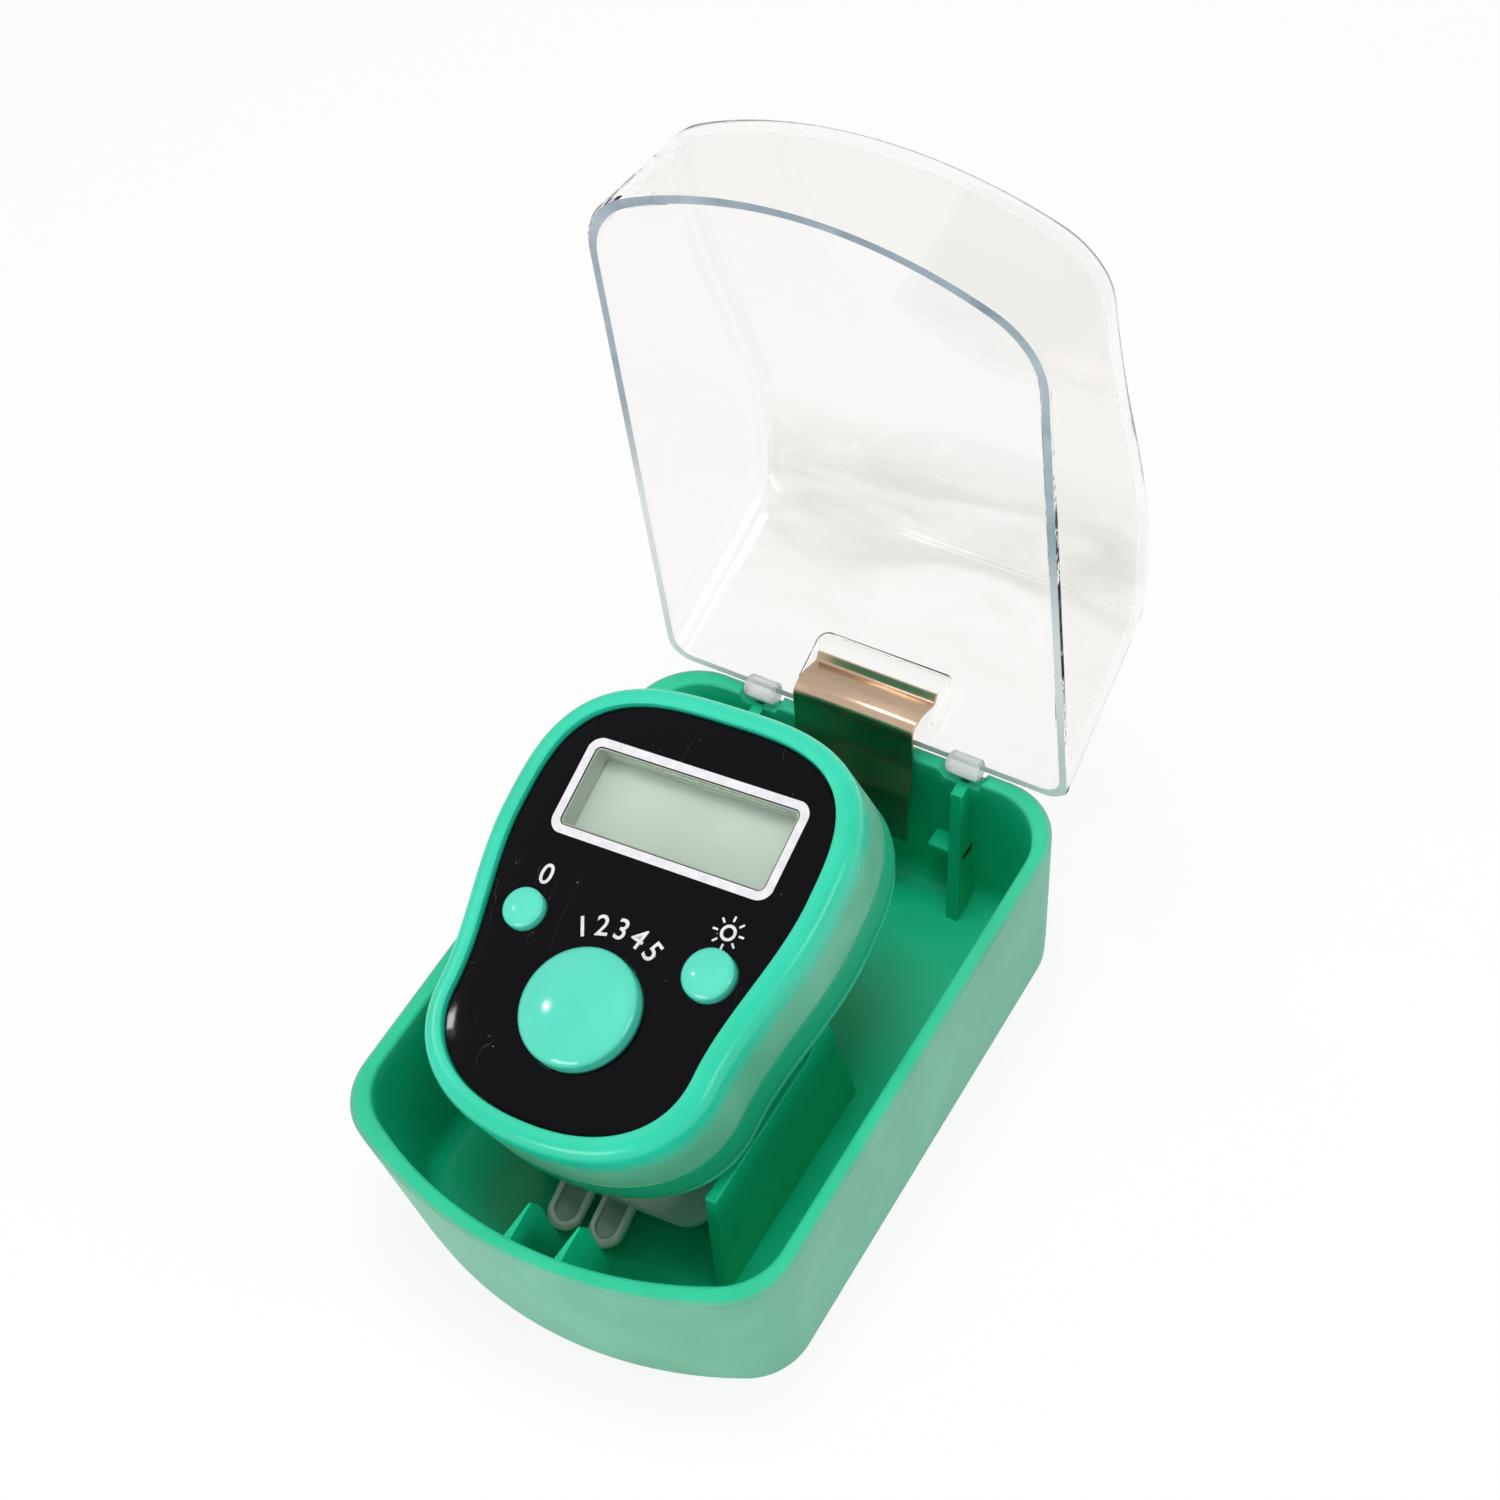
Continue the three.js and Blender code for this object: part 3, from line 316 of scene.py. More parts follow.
# Mix of two colours, each one a socket or the values from 0 to 255 that a screen shows.
def mixColour(amount, first, second):
    first, second = (end if isSocket(end) else linear(*end) for end in (first, second))
    return addNode(amount.id_data, "ShaderNodeMix", {0: amount, 6: first, 7: second}, data_type="RGBA")[2]


def noise(place, scale, detail, distortion=0.0):
    sockets = {"Vector": place, "Scale": scale, "Detail": detail, "Distortion": distortion}
    return addNode(place.id_data, "ShaderNodeTexNoise", sockets)["Fac"]


def stretched(place, scale, turn=(0, 0, 0)):
    return addNode(place.id_data, "ShaderNodeMapping", {"Vector": place, "Rotation": turn, "Scale": scale})[0]


# Texture scale at which a pattern repeats about every so many millimetres.
def scaleFor(spacing):
    return arithmetic("DIVIDE", 1 / mm, spacing)


# Group with the outputs that the given function makes from the coordinates and the other inputs.
def buildGroup(name, inputs, outputs, build):
    group = bpy.data.node_groups.new(name, "ShaderNodeTree")
    group.interface.new_socket("Coordinates", in_out="INPUT", socket_type="NodeSocketVector")
    for way, labels in (("INPUT", inputs), ("OUTPUT", outputs)):
        for label in labels:
            group.interface.new_socket(label, in_out=way, socket_type="NodeSocketFloat")
    given = group.nodes.new("NodeGroupInput").outputs
    made = group.nodes.new("NodeGroupOutput").inputs
    for label, value in zip(outputs, build(given["Coordinates"], *(given[label] for label in inputs))):
        group.links.new(value, made[label])
    return group


# Moulded plastic: fine grain for the height, and slow flow marks for the tone.
def mouldedSurface(place, grain, flow):
    return noise(place, scaleFor(grain), 3.0), remap(noise(place, scaleFor(flow), 4.0, 0.6), 0.3, 0.7)


# Dust: round specks at random places, where a cell's distance is under a share of its spacing.
def dustSpecks(place, spacing, share):
    cells = addNode(place.id_data, "ShaderNodeTexVoronoi", {"Vector": place, "Scale": scaleFor(spacing)})
    return [arithmetic("LESS_THAN", cells["Distance"], product(cells["Color"], share))]


# Scuffs: thin lines where a noise stretched along one way crosses its middle value, in a few patches.
def scuffLines(place, spacing, width):
    scale = scaleFor(spacing)
    streaks = noise(stretched(place, (1, 0.08, 1), (0.3, 0.2, 0.5)), scale, 2.0)
    fromMiddle = arithmetic("ABSOLUTE", arithmetic("SUBTRACT", streaks, 0.5))
    patches = arithmetic("GREATER_THAN", noise(place, product(scale, 0.4), 2.0), 0.58)
    return [product(arithmetic("LESS_THAN", fromMiddle, width), patches)]


# Edge wear: the edge trait of the mesh, broken up by noise.
def edgeWear(place, edge, amount):
    return [product(product(remap(noise(place, 420.0, 3.0), 0.2, 0.75, 0.5), edge), amount)]


# Haze and painted reflection shade: soft streaks of a stretched noise where the piece's trait allows them.
def mouldHazeAndShade(place, where, spacing):
    streaks = noise(stretched(place, (0.35, 1, 1)), scaleFor(spacing), 5.0, 1.2)
    return [product(remap(streaks, 0.35, 0.7), where)]


mouldGroup = buildGroup("mouldedSurface", ["Grain", "Flow"], ["Height", "Tone"], mouldedSurface)
hazeShadeGroup = buildGroup("mouldHazeAndShade", ["Where", "Spacing"], ["Mask"], mouldHazeAndShade)
dustGroup = buildGroup("dustSpecks", ["Spacing", "Share"], ["Mask"], dustSpecks)
scuffGroup = buildGroup("scuffLines", ["Spacing", "Width"], ["Mask"], scuffLines)
wearGroup = buildGroup("edgeWear", ["Edge", "Amount"], ["Mask"], edgeWear)


def placeGroup(group, place, **sockets):
    return addNode(place.id_data, "ShaderNodeGroup", {"Coordinates": place, **sockets}, node_tree=group)


def trait(place, name):
    return addNode(place.id_data, "ShaderNodeAttribute", attribute_name=name)["Fac"]


def nodeOf(material, kind):
    return next(node for node in material.node_tree.nodes if node.type == kind)


def startMaterial(name, plain):
    material = bpy.data.materials.new(name)
    material.use_nodes = True
    for socket, value in plain.items():
        nodeOf(material, "BSDF_PRINCIPLED").inputs[socket].default_value = value
    return material, addNode(material.node_tree, "ShaderNodeTexCoord")["Object"]


# Links what varies over a surface: its colour, its roughness, and a height given as a share of the depth.
def paint(material, colour, roughness, height, depth):
    tree, shader = material.node_tree, nodeOf(material, "BSDF_PRINCIPLED")
    bump = addNode(tree, "ShaderNodeBump", {"Height": height, "Distance": depth * mm, "Strength": 1.0})
    for socket, value in (("Base Color", colour), ("Roughness", roughness), ("Normal", bump[0])):
        tree.links.new(value, shader.inputs[socket])
    return material


# Camera and stage

camera = {"place": (86.8, -86.2, 194.3), "turn": 41.387, "climb": 51.383, "roll": -13.177, "lens": 66.53}
stage = {"worldLight": 0.43, "floorReach": 1.5, "floorGlow": 0.86}


def setCamera():
    viewer = addObject("camera", bpy.data.cameras.new("camera"))
    viewer.matrix_world = placed(camera["place"], (camera["turn"], "Z"), (90 - camera["climb"], "X"),
                                 (camera["roll"], "Z"))
    viewer.data.sensor_width = 36
    viewer.data.lens = camera["lens"]
    viewer.data.clip_start = 0.005
    bpy.context.scene.camera = viewer


# One for what the camera, mirrors and clear pieces see, and zero for light that falls on anything else.
def seenDirectly(tree):
    path = addNode(tree, "ShaderNodeLightPath")
    through = arithmetic("MAXIMUM", path["Is Glossy Ray"], path["Is Transmission Ray"])
    return arithmetic("MAXIMUM", path["Is Camera Ray"], through)


# White where it is seen directly, and dimmer as a light.
def buildWhiteWorld():
    world = bpy.data.worlds.new("studio")
    bpy.context.scene.world = world
    world.use_nodes = True
    tree = world.node_tree
    sky = tree.nodes["Background"].inputs
    sky["Color"].default_value = (1, 1, 1, 1)
    tree.links.new(remap(seenDirectly(tree), 0.0, 1.0, stage["worldLight"], 1.0), sky["Strength"])


# White floor that keeps the object's shadow: where light reaches it, it shows as plain white.
def buildFloor():
    mesh, reach = bpy.data.meshes.new("floor"), stage["floorReach"]
    corners = [(-reach, -reach, 0), (reach, -reach, 0), (reach, reach, 0), (-reach, reach, 0)]
    mesh.from_pydata(corners, [], [(0, 1, 2, 3)])
    floor = addObject("floor", mesh)
    material, _ = startMaterial("floorWhite", {
        "Base Color": (0.97, 0.97, 0.97, 1), "Roughness": 0.9, "Specular IOR Level": 0.1})
    tree, lit = material.node_tree, nodeOf(material, "BSDF_PRINCIPLED").outputs
    glow = addNode(tree, "ShaderNodeEmission", {"Color": (1, 1, 1, 1), "Strength": 1.0})
    share = product(seenDirectly(tree), stage["floorGlow"])
    mix = addNode(tree, "ShaderNodeMixShader", {0: share, 1: lit[0], 2: glow[0]})
    tree.links.new(mix[0], nodeOf(material, "OUTPUT_MATERIAL").inputs["Surface"])
    mesh.materials.append(material)


def addLamp(name, place, aim, size, watts, shines=True):
    data = bpy.data.lights.new(name, "AREA")
    data.shape = "RECTANGLE"
    data.size, data.size_y = (side * mm for side in size)
    data.energy = watts
    lamp = addObject(name, data)
    lamp.location = Vector(place) * mm
    lamp.visible_glossy = shines
    lamp.rotation_euler = (Vector(aim) - Vector(place)).to_track_quat("-Z", "Y").to_euler()


setCamera()
buildWhiteWorld()
buildFloor()
addLamp("skyLamp", (20, 40, 380), (5, 0, 10), (180, 130), 0.6, False)
addLamp("spotLamp", (-228, -49, 225), (0, -6, 24), (14, 14), 0.045)
addLamp("sideLamp", (330, 40, 150), (0, 0, 15), (160, 120), 0.23)
addLamp("frontLamp", (-60, -330, 110), (0, 0, 15), (200, 90), 0.38)
print("camera, floor and lamps: done")


# Materials

# Green moulded plastic: flow marks in the tone, fine grain in the height, paler satin outside and edges,
# dust, and a painted shade in a darker colour where the piece's low trait says so.
def buildGreenPlastic(name, look):
    material, place = startMaterial(name, {"Specular IOR Level": look["specular"], "IOR": 1.5})
    mould = placeGroup(mouldGroup, place, Grain=look["grain"], Flow=look["flow"])
    tone, outside = mould["Tone"], trait(place, "outside")
    pale = mixColour(tone, look["outsideDeep"], look["outside"])
    wear = placeGroup(wearGroup, place, Edge=trait(place, "edge"), Amount=look["wear"])["Mask"]
    dust = placeGroup(dustGroup, place, Spacing=look["dustSpacing"], Share=look["dustShare"])["Mask"]
    colour = mixColour(tone, look["deep"], look["colour"])
    # The low trait lays a painted shade: it mixes in the darker low colour.
    for amount, over in ((product(outside, look["outsideShare"]), pale), (trait(place, "low"), look["low"]),
                         (wear, look["worn"]), (product(dust, look["dustStrength"]), look["dust"])):
        colour = mixColour(amount, colour, over)
    rough = remap(tone, 0.0, 1.0, look["roughness"] * 0.85, look["roughness"] * 1.15)
    rough = arithmetic("ADD", rough, product(outside, look["satin"]))
    return paint(material, colour, rough, mould["Height"], look["bump"])


trayLook = {
    # low is a painted shade colour: a darker green for where a piece sits in shadow.
    "colour": (20, 200, 150), "deep": (13, 186, 136), "low": (30, 166, 124),
    "outside": (118, 188, 158), "outsideDeep": (92, 170, 138), "outsideShare": 0.9,
    "worn": (96, 226, 188), "wear": 0.28, "satin": 0.12, "roughness": 0.34, "specular": 0.32,
    "grain": 0.22, "flow": 9.0, "bump": 0.006,
    "dust": (225, 235, 228), "dustSpacing": 1.6, "dustShare": 0.05, "dustStrength": 0.35,
}
shellLook = {**trayLook, "colour": (42, 212, 176), "deep": (30, 202, 162), "roughness": 0.24, "specular": 0.4}
buttonLook = {**trayLook, "colour": (90, 224, 198), "deep": (78, 216, 188), "roughness": 0.14,
              "specular": 0.5, "bump": 0.002}
trayPlastic = buildGreenPlastic("trayPlastic", trayLook)
shellPlastic = buildGreenPlastic("shellPlastic", shellLook)
buttonPlastic = buildGreenPlastic("buttonPlastic", buttonLook)


# Finish with its own grain: between two colours along the flow marks, and where a trait of the mesh
# says so, between two others.
def buildFinish(name, colours, roughness, grain, flow, bump, plain=None, where=None, others=None):
    material, place = startMaterial(name, plain or {})
    mould = placeGroup(mouldGroup, place, Grain=grain, Flow=flow)
    colour = mixColour(mould["Tone"], *colours)
    if where:
        colour = mixColour(trait(place, where), colour, mixColour(mould["Tone"], *others))
    return paint(material, colour, remap(mould["Tone"], 0.0, 1.0, *roughness), mould["Height"], bump)


# Each row has the colours from deep to pale, the range of roughness, and the spacing of the grain, that of
# the flow marks and the depth of the bump in millimetres. The lid's cut edge carries a painted shade: grey
# blue at the far end, for the light the clear edge refracts there, and nearly white by the hinge. The strap
# is milky, with a painted highlight that makes the tabs' rims paler, and part of that pale colour all over
# the bands.
metal = {"Metallic": 1.0}
finishes = {name: buildFinish(name, *values) for name, *values in (
    ("displayFilm", ((168, 183, 171), (176, 190, 178)), (0.32, 0.48), 0.3, 14.0, 0.002),
    ("diffuserPlastic", ((234, 231, 208), (243, 241, 222)), (0.32, 0.48), 0.5, 6.0, 0.01),
    ("domeRubber", ((130, 134, 132), (146, 150, 148)), (0.6, 0.9), 0.15, 3.0, 0.02),
    ("boardLaminate", ((26, 96, 52), (34, 112, 62)), (0.336, 0.504), 0.4, 1.6, 0.012),
    ("blackEpoxy", ((18, 18, 22), (26, 26, 31)), (0.32, 0.48), 0.5, 2.0, 0.03),
    ("cellSteel", ((188, 190, 194), (206, 207, 210)), (0.192, 0.288), 0.12, 2.5, 0.004, metal),
    ("screwSteel", ((160, 160, 162), (190, 190, 190)), (0.24, 0.36), 0.1, 1.0, 0.006, metal),
    ("contactBrass", ((190, 164, 98), (214, 190, 120)), (0.24, 0.36), 0.15, 2.0, 0.005, metal),
    ("whitePrint", ((222, 220, 226), (240, 238, 242)), (0.36, 0.54), 0.12, 0.8, 0.004),
    ("windowGrey", ((156, 168, 152), (168, 180, 164)), (0.4, 0.6), 0.2, 5.0, 0.004),
    ("lidFrost", ((232, 236, 236), (246, 248, 248)), (0.24, 0.36), 0.6, 3.0, 0.01,
     {"Transmission Weight": 0.6, "IOR": 1.3}),
    # Painted shade of the light refracted in the lid's cut edge: grey blue at the far end, near white by the
    # hinge.
    ("lidEdge", ((124, 144, 158), (184, 197, 207)), (0.2, 0.4), 0.8, 7.0, 0.01,
     {"Specular IOR Level": 0.6}, "edgeShadeFade", ((236, 238, 242), (236, 238, 242))),
    # Strap: milky, with a painted highlight where its edge trait says so, paler along the tabs' rims.
    ("strapSilicone", ((150, 176, 166), (150, 176, 166)), (0.12, 0.24), 0.6, 5.0, 0.03,
     {"IOR": 1.4, "Transmission Weight": 0.3, "Coat Weight": 0.5, "Coat Roughness": 0.1},
     "edge", ((228, 240, 234), (248, 252, 250))),
)}


# Clear plastic: glass that shines, dull in a few fine scuffs, and hazy where the trait says so, where it also
# greys to its haze colour as a painted shade of reflections.
def buildClearPlastic(name, look):
    material, place = startMaterial(name, {
        "IOR": look["index"], "Transmission Weight": 1.0,
        "Coat Weight": look["coat"], "Coat Roughness": 0.03})
    hazeAndShade = placeGroup(hazeShadeGroup, place, Where=trait(place, "hazeAndShade"), Spacing=5.0)["Mask"]
    scuff = placeGroup(scuffGroup, place, Spacing=2.6, Width=0.003)["Mask"]
    wave = placeGroup(mouldGroup, place, Grain=4.0, Flow=12.0)["Height"]
    # Under the haze mask the colour greys towards the haze colour: a painted reflection shade.
    colour = mixColour(hazeAndShade, look["colour"], look["hazeShadeColour"])
    dull = arithmetic("MAXIMUM", product(scuff, look["scuffs"]), product(hazeAndShade, 0.6))
    return paint(material, colour, remap(dull, 0.0, 1.0, look["roughness"], 0.45), wave, look["wave"])


# The lid's haze colour is a painted shade of the reflections in its rear crease.
lidPlastic = buildClearPlastic("lidPlastic", {
    "index": 1.07, "colour": (251, 250, 248), "hazeShadeColour": (216, 217, 208), "coat": 0.5,
    "scuffs": 0.35, "roughness": 0.015, "wave": 0.03})
lensPlastic = buildClearPlastic("lensPlastic", {
    "index": 1.03, "colour": (253, 254, 253), "hazeShadeColour": (253, 254, 253), "coat": 0.0,
    "scuffs": 0.2, "roughness": 0.02, "wave": 0.0})


# Gloss black: deep black with pale specks of dust and the odd short scratch.
def buildGlossBlack():
    material, place = startMaterial("glossBlack", {"Specular IOR Level": 0.08, "IOR": 1.5})
    dust = placeGroup(dustGroup, place, Spacing=1.5, Share=0.05)["Mask"]
    scuff = placeGroup(scuffGroup, place, Spacing=3.4, Width=0.0012)["Mask"]
    wave = placeGroup(mouldGroup, place, Grain=2.5, Flow=8.0)["Height"]
    marks = arithmetic("MAXIMUM", product(dust, 0.5), product(scuff, 0.05))
    colour = mixColour(marks, (6, 4, 9), (205, 205, 210))
    return paint(material, colour, remap(marks, 0.0, 1.0, 0.07, 0.6), wave, 0.01)


# Polished steel strip: a warm mirror, faintly stained, with fine rolling lines across it.
def buildSpringMetal():
    material, place = startMaterial("springMetal", metal)
    rolling = noise(stretched(place, (0.05, 1, 1)), 2600.0, 3.0)
    stain = remap(noise(place, 120.0, 3.0), 0.3, 0.75)
    colour = mixColour(stain, (196, 170, 147), (182, 157, 136))
    return paint(material, colour, remap(rolling, 0.3, 0.7, 0.2, 0.27), rolling, 0.0015)


glossBlack = buildGlossBlack()
springMetal = buildSpringMetal()
print("materials: done")


# Tray

tray = {
    "width": 39, "length": 54, "height": 15.7, "bulge": 5.3, "cornerRadius": 5.9, "draft": 1.26,
    "wall": 1.4, "floor": 1.3, "footRound": 0.5, "rimRound": 0.35, "floorRound": 1.6,
    "notchPlace": 9.6, "notchHalfWidth": 1.75, "notchDepth": 0.85, "notchFade": 0.3, "notchReach": 3,
    "notchSquash": 0.05, "steps": (14, 40, 140, 60),
}
trayDress = (trayPlastic, "tray", "tray_plastic", "tray")


def trayPlan(inset):
    radius = tray["cornerRadius"] - inset / 2
    return boxPlan(tray["width"] - 2 * inset, tray["length"] - 2 * inset, tray["bulge"], radius, radius,
                   tray["steps"])


def trayInset(height):
    return tray["draft"] * (1 - height / tray["height"])


# Rows of (inset, height, kind): foot, outer wall, rounded rim, inner wall and rounded floor corner.
def trayRows():
    height, wall, floor = tray["height"], tray["wall"], tray["floor"]
    foot, rim, corner = tray["footRound"], tray["rimRound"], tray["floorRound"]
    turns = np.linspace(0, quarterTurn, 6)
    rows = [(trayInset(0) + foot * (1 - sin(t)), foot * (1 - cos(t)), "outside") for t in turns]
    rows += [(trayInset(z), z, "outside") for z in np.linspace(foot, height - rim, 10)[1:]]
    rows += [(rim * (1 - cos(t)), height - rim * (1 - sin(t)), "outside") for t in turns[1:5]]
    rows += [(rim, height, "edge")]
    rows += [(wall - rim * (1 - sin(t)), height - rim * (1 - cos(t)), "edge") for t in turns]
    rows += [(wall + trayInset(z), z, "inside") for z in np.linspace(height - rim, floor + corner, 12)[1:]]
    low = wall + trayInset(floor + corner)
    rows += [(low + corner * (1 - cos(t)), floor + corner * (1 - sin(t)), "inside")
             for t in turns[1:]]
    return rows


# Shell whose rim dips in two notches for the lid's lugs.
def buildTray():
    rows = trayRows()
    rings = []
    for inset, height, _ in rows:
        plan = trayPlan(inset)
        fromNotch = np.abs(np.abs(plan[:, 0]) - tray["notchPlace"]) - tray["notchHalfWidth"]
        atRear = plan[:, 1] > tray["length"] / 2 - tray["notchReach"]
        inNotch = np.clip(0.5 - fromNotch / tray["notchFade"], 0, 1) * atRear
        top = tray["height"] - tray["notchDepth"] * inNotch
        z = np.minimum(height, top - (tray["height"] - height) * tray["notchSquash"])
        rings.append(np.column_stack([plan, z]))
    grid = closedGrid(np.array(rings))
    kinds = ["outside"] * capSteps + [kind for _, _, kind in rows] + ["inside"] * capSteps
    traits = {label: np.repeat([float(kind == label) for kind in kinds], grid.shape[1])
              for label in ("outside", "edge")}
    dress(makePiece("tray_shell", [grid], 50, traits), *trayDress)


trayRibs = {
    "thickness": 1.1, "place": 9.2, "top": 14.85, "topDepth": 1.2, "footDepth": 3.4, "rounding": 0.16,
    "ledgeTop": 8.05, "ledgeHeight": 0.8, "ledgeReach": 2.2,
    "finThickness": 0.9, "finCentre": 1.4, "finSpacing": 4.45, "finDepth": 3.9, "finFootGrowth": 1.2,
    "finRootShare": 0.8, "finTaper": 0.6,
    "plateThickness": 1.0, "platePlace": 10.3, "plateFront": -17.2, "plateRear": 3.4, "plateTop": 15.4,
    "plateSaddle": 2.4,
}
# Top edge of the divider from its rear, as (share of its length, share of the saddle's depth)
dividerEdge = [(0.08, 0.5), (0.12, 0.33), (0.24, 1), (0.34, 0.95), (0.62, 0.9), (0.91, 0.9)]


def rearInside(height):
    return tray["length"] / 2 - tray["wall"] - trayInset(height)


def addTraySlab(name, profile, x0, x1):
    return dress(makeSlab(name, profile, min(x0, x1), max(x0, x1), trayRibs["rounding"]), *trayDress)


def buildHingeRib(side, label):
    ribs, floor, skin = trayRibs, tray["floor"] / 2, tray["wall"] / 2
    far = side * (ribs["place"] + ribs["thickness"])
    rim = rearInside(tray["height"])
    rib = [(rim + skin, ribs["top"]), (rim - ribs["topDepth"], ribs["top"]),
           (rearInside(tray["floor"]) - ribs["footDepth"], floor), (rearInside(0) + skin, floor)]
    addTraySlab("tray_rib_" + label, rib, side * ribs["place"], far)
    top, low = ribs["ledgeTop"], ribs["ledgeTop"] - ribs["ledgeHeight"]
    rear, front = rearInside(top) + skin, rearInside(top) - ribs["footDepth"] / 2
    addTraySlab("tray_ledge_" + label, [(front, low), (rear, low), (rear, top), (front, top)],
                far, side * (ribs["place"] - ribs["ledgeReach"]))


# Front fin: its blade gets thinner from the wall inwards.
def buildFin(side, label):
    ribs, skin = trayRibs, tray["wall"] / 2
    front, floor = tray["wall"] - tray["length"] / 2, tray["floor"] / 2
    high, shoulder = ribs["plateTop"], ribs["plateTop"] - tray["wall"]
    tip, reach = front + ribs["finDepth"], ribs["finDepth"] - skin
    fin = [(front - skin, high), (front - skin, shoulder), (front + tray["draft"] - skin, floor),
           (tip + ribs["finFootGrowth"], floor), (tip, shoulder), (front + reach, high)]
    middle, half = ribs["finCentre"] + side * ribs["finSpacing"] / 2, ribs["finThickness"] / 2
    blade = addTraySlab("tray_fin_" + label, fin, middle - half, middle + half)
    for vertex in blade.data.vertices:
        inward = min(max((vertex.co.y / mm - front) / reach, 0), 1)
        share = ribs["finRootShare"] - ribs["finTaper"] * inward
        vertex.co.x = (middle + (vertex.co.x / mm - middle) * share) * mm


def buildDivider():
    ribs, floor = trayRibs, tray["floor"] / 2
    rear, front, half = ribs["plateRear"], ribs["plateFront"], ribs["plateThickness"] / 2
    edge = [(rear + (front - rear) * along, ribs["plateTop"] - down * ribs["plateSaddle"])
            for along, down in dividerEdge]
    addTraySlab("tray_divider", [(front, floor), (rear, floor), *edge],
                ribs["platePlace"] - half, ribs["platePlace"] + half)


sides = ((-1, "left"), (1, "right"))
buildTray()
for side, label in sides:
    buildHingeRib(side, label)
    buildFin(side, label)
buildDivider()
print("tray: done")


# Lid, worked out closed with its hinge axis at the origin, then turned open

lid = {
    "width": 37.9, "length": 53.3, "bulge": 5.4, "rearRadius": 2.1, "frontRadius": 6.7, "draft": 0.8 / 17.5,
    "wall": 0.95, "rearHeight": 15, "lean": 6.1 / 15, "leanGrowth": 1.08, "topGrowth": 1.02, "lip": 0.16,
    "outerRound": 1.3, "innerRound": 0.8, "openAngle": 93.1, "hingeY": 26.6, "hingeZ": 16.1,
    "lugRadius": 0.95, "lugLength": 2.9, "lugPlace": 9.6, "lugRound": 0.2, "steps": (14, 40, 60, 60),
    "topLine": [(-6.1, 15), (-10.13, 16.33), (-17.6, 16.85), (-25.05, 15.5), (-37.3, 12.67), (-55.3, 10.1)],
}
lidTraits = {"creaseY": -9.5, "creaseZ": 15.5, "creaseSquash": 0.6, "hazeShadeReach": 7.5, "hazeShadePeak": 1.2,
             "hazeShadeHalfWidth": 17, "edgeShadeStart": -30, "edgeShadeLength": 12}
lidDress = (lidPlastic, "lid", "clear_lid_plastic", "lid")
lidLean = atan(lid["lean"])
lidTurn = placed((0, lid["hingeY"], lid["hingeZ"]), (-lid["openAngle"], "X"))
lidLine = smoothCurve(lid["topLine"], 12)[::-1]


# Plan of the closed lid at a height: its rear edge leans forwards, its sides draw in.
def lidPlan(height, inset):
    sideInset = inset + lid["draft"] * height
    rear = -lid["lean"] * height - inset * lid["leanGrowth"]
    front = sideInset - lid["length"]
    plan = boxPlan(lid["width"] - 2 * sideInset, rear - front, lid["bulge"],
                   lid["rearRadius"] - inset / 2, lid["frontRadius"] - inset / 2, lid["steps"])
    plan[:, 1] += (rear + front) / 2
    return plan


# One side of the shell: wall rows, a rounded top edge, then rows that shrink to the middle of the top.
def lidSkin(inset, rounding, lip):
    def wallAt(z, extra=0.0):
        low, high = (lidPlan(height, inset + extra) for height in (0, lid["rearHeight"]))
        share = (z / lid["rearHeight"])[:, None]
        return low * (1 - share) + high * share

    def topAt(plan):
        return np.interp(plan[:, 1], lidLine[:, 0], lidLine[:, 1]) - inset * lid["topGrowth"]

    base, foot = lidPlan(0, inset + lip), abs(lip)
    edge = np.full(len(base), 12.0)
    for _ in range(10):
        edge = topAt(wallAt(edge))
    rows = [np.column_stack([base, np.zeros(len(base))])]
    for share in np.linspace(0, 1, 16):
        z = foot + share * (edge - rounding - foot)
        rows.append(np.column_stack([wallAt(z), z]))
    for turn in np.linspace(0, quarterTurn, 7)[1:]:
        drop = rounding * (1 - sin(turn))
        plan = wallAt(edge - drop, rounding * (1 - cos(turn)))
        rows.append(np.column_stack([plan, topAt(plan) - drop]))
    ring = rows[-1][:, :2]
    for share in np.linspace(0, 1, 15)[1:]:
        plan = ring * (1 - share) + ring.mean(axis=0) * share
        rows.append(np.column_stack([plan, topAt(plan)]))
    return np.array(rows)


# Shell with haze and a painted reflection shade along its rear crease, and a cut edge whose painted grey blue
# shade pales towards the hinge.
def buildLid():
    t = lidTraits
    outer = lidSkin(0.0, lid["outerRound"], lid["lip"])
    inner = lidSkin(lid["wall"], lid["innerRound"], -lid["lip"])
    grid = np.concatenate([outer[::-1], inner])
    x, y, z = np.moveaxis(grid, -1, 0)
    fromCrease = np.hypot(y - t["creaseY"], (z - t["creaseZ"]) * t["creaseSquash"])
    # Haze and painted shade along the rear crease: the lid dulls there and greys as a painted shade of the
    # crease's reflections.
    hazeAndShade = np.clip(t["hazeShadePeak"] - fromCrease / t["hazeShadeReach"], 0, 1) * (np.abs(x) < t["hazeShadeHalfWidth"])
    # Painted edge shade: one towards the hinge, where the cut edge's grey blue gives way to near white.
    edgeShadeFade = np.clip((y - t["edgeShadeStart"]) / t["edgeShadeLength"], 0, 1)
    piece = dress(makePiece("lid_shell", [grid], 35, {"hazeAndShade": hazeAndShade, "edgeShadeFade": edgeShadeFade}), *lidDress)
    piece.data.materials.append(finishes["lidEdge"])
    heights = np.array([face.center.z for face in piece.data.polygons]) / mm
    piece.data.polygons.foreach_set("material_index", (heights < 0.001).astype(np.int32))
    piece.data.transform(lidTurn)


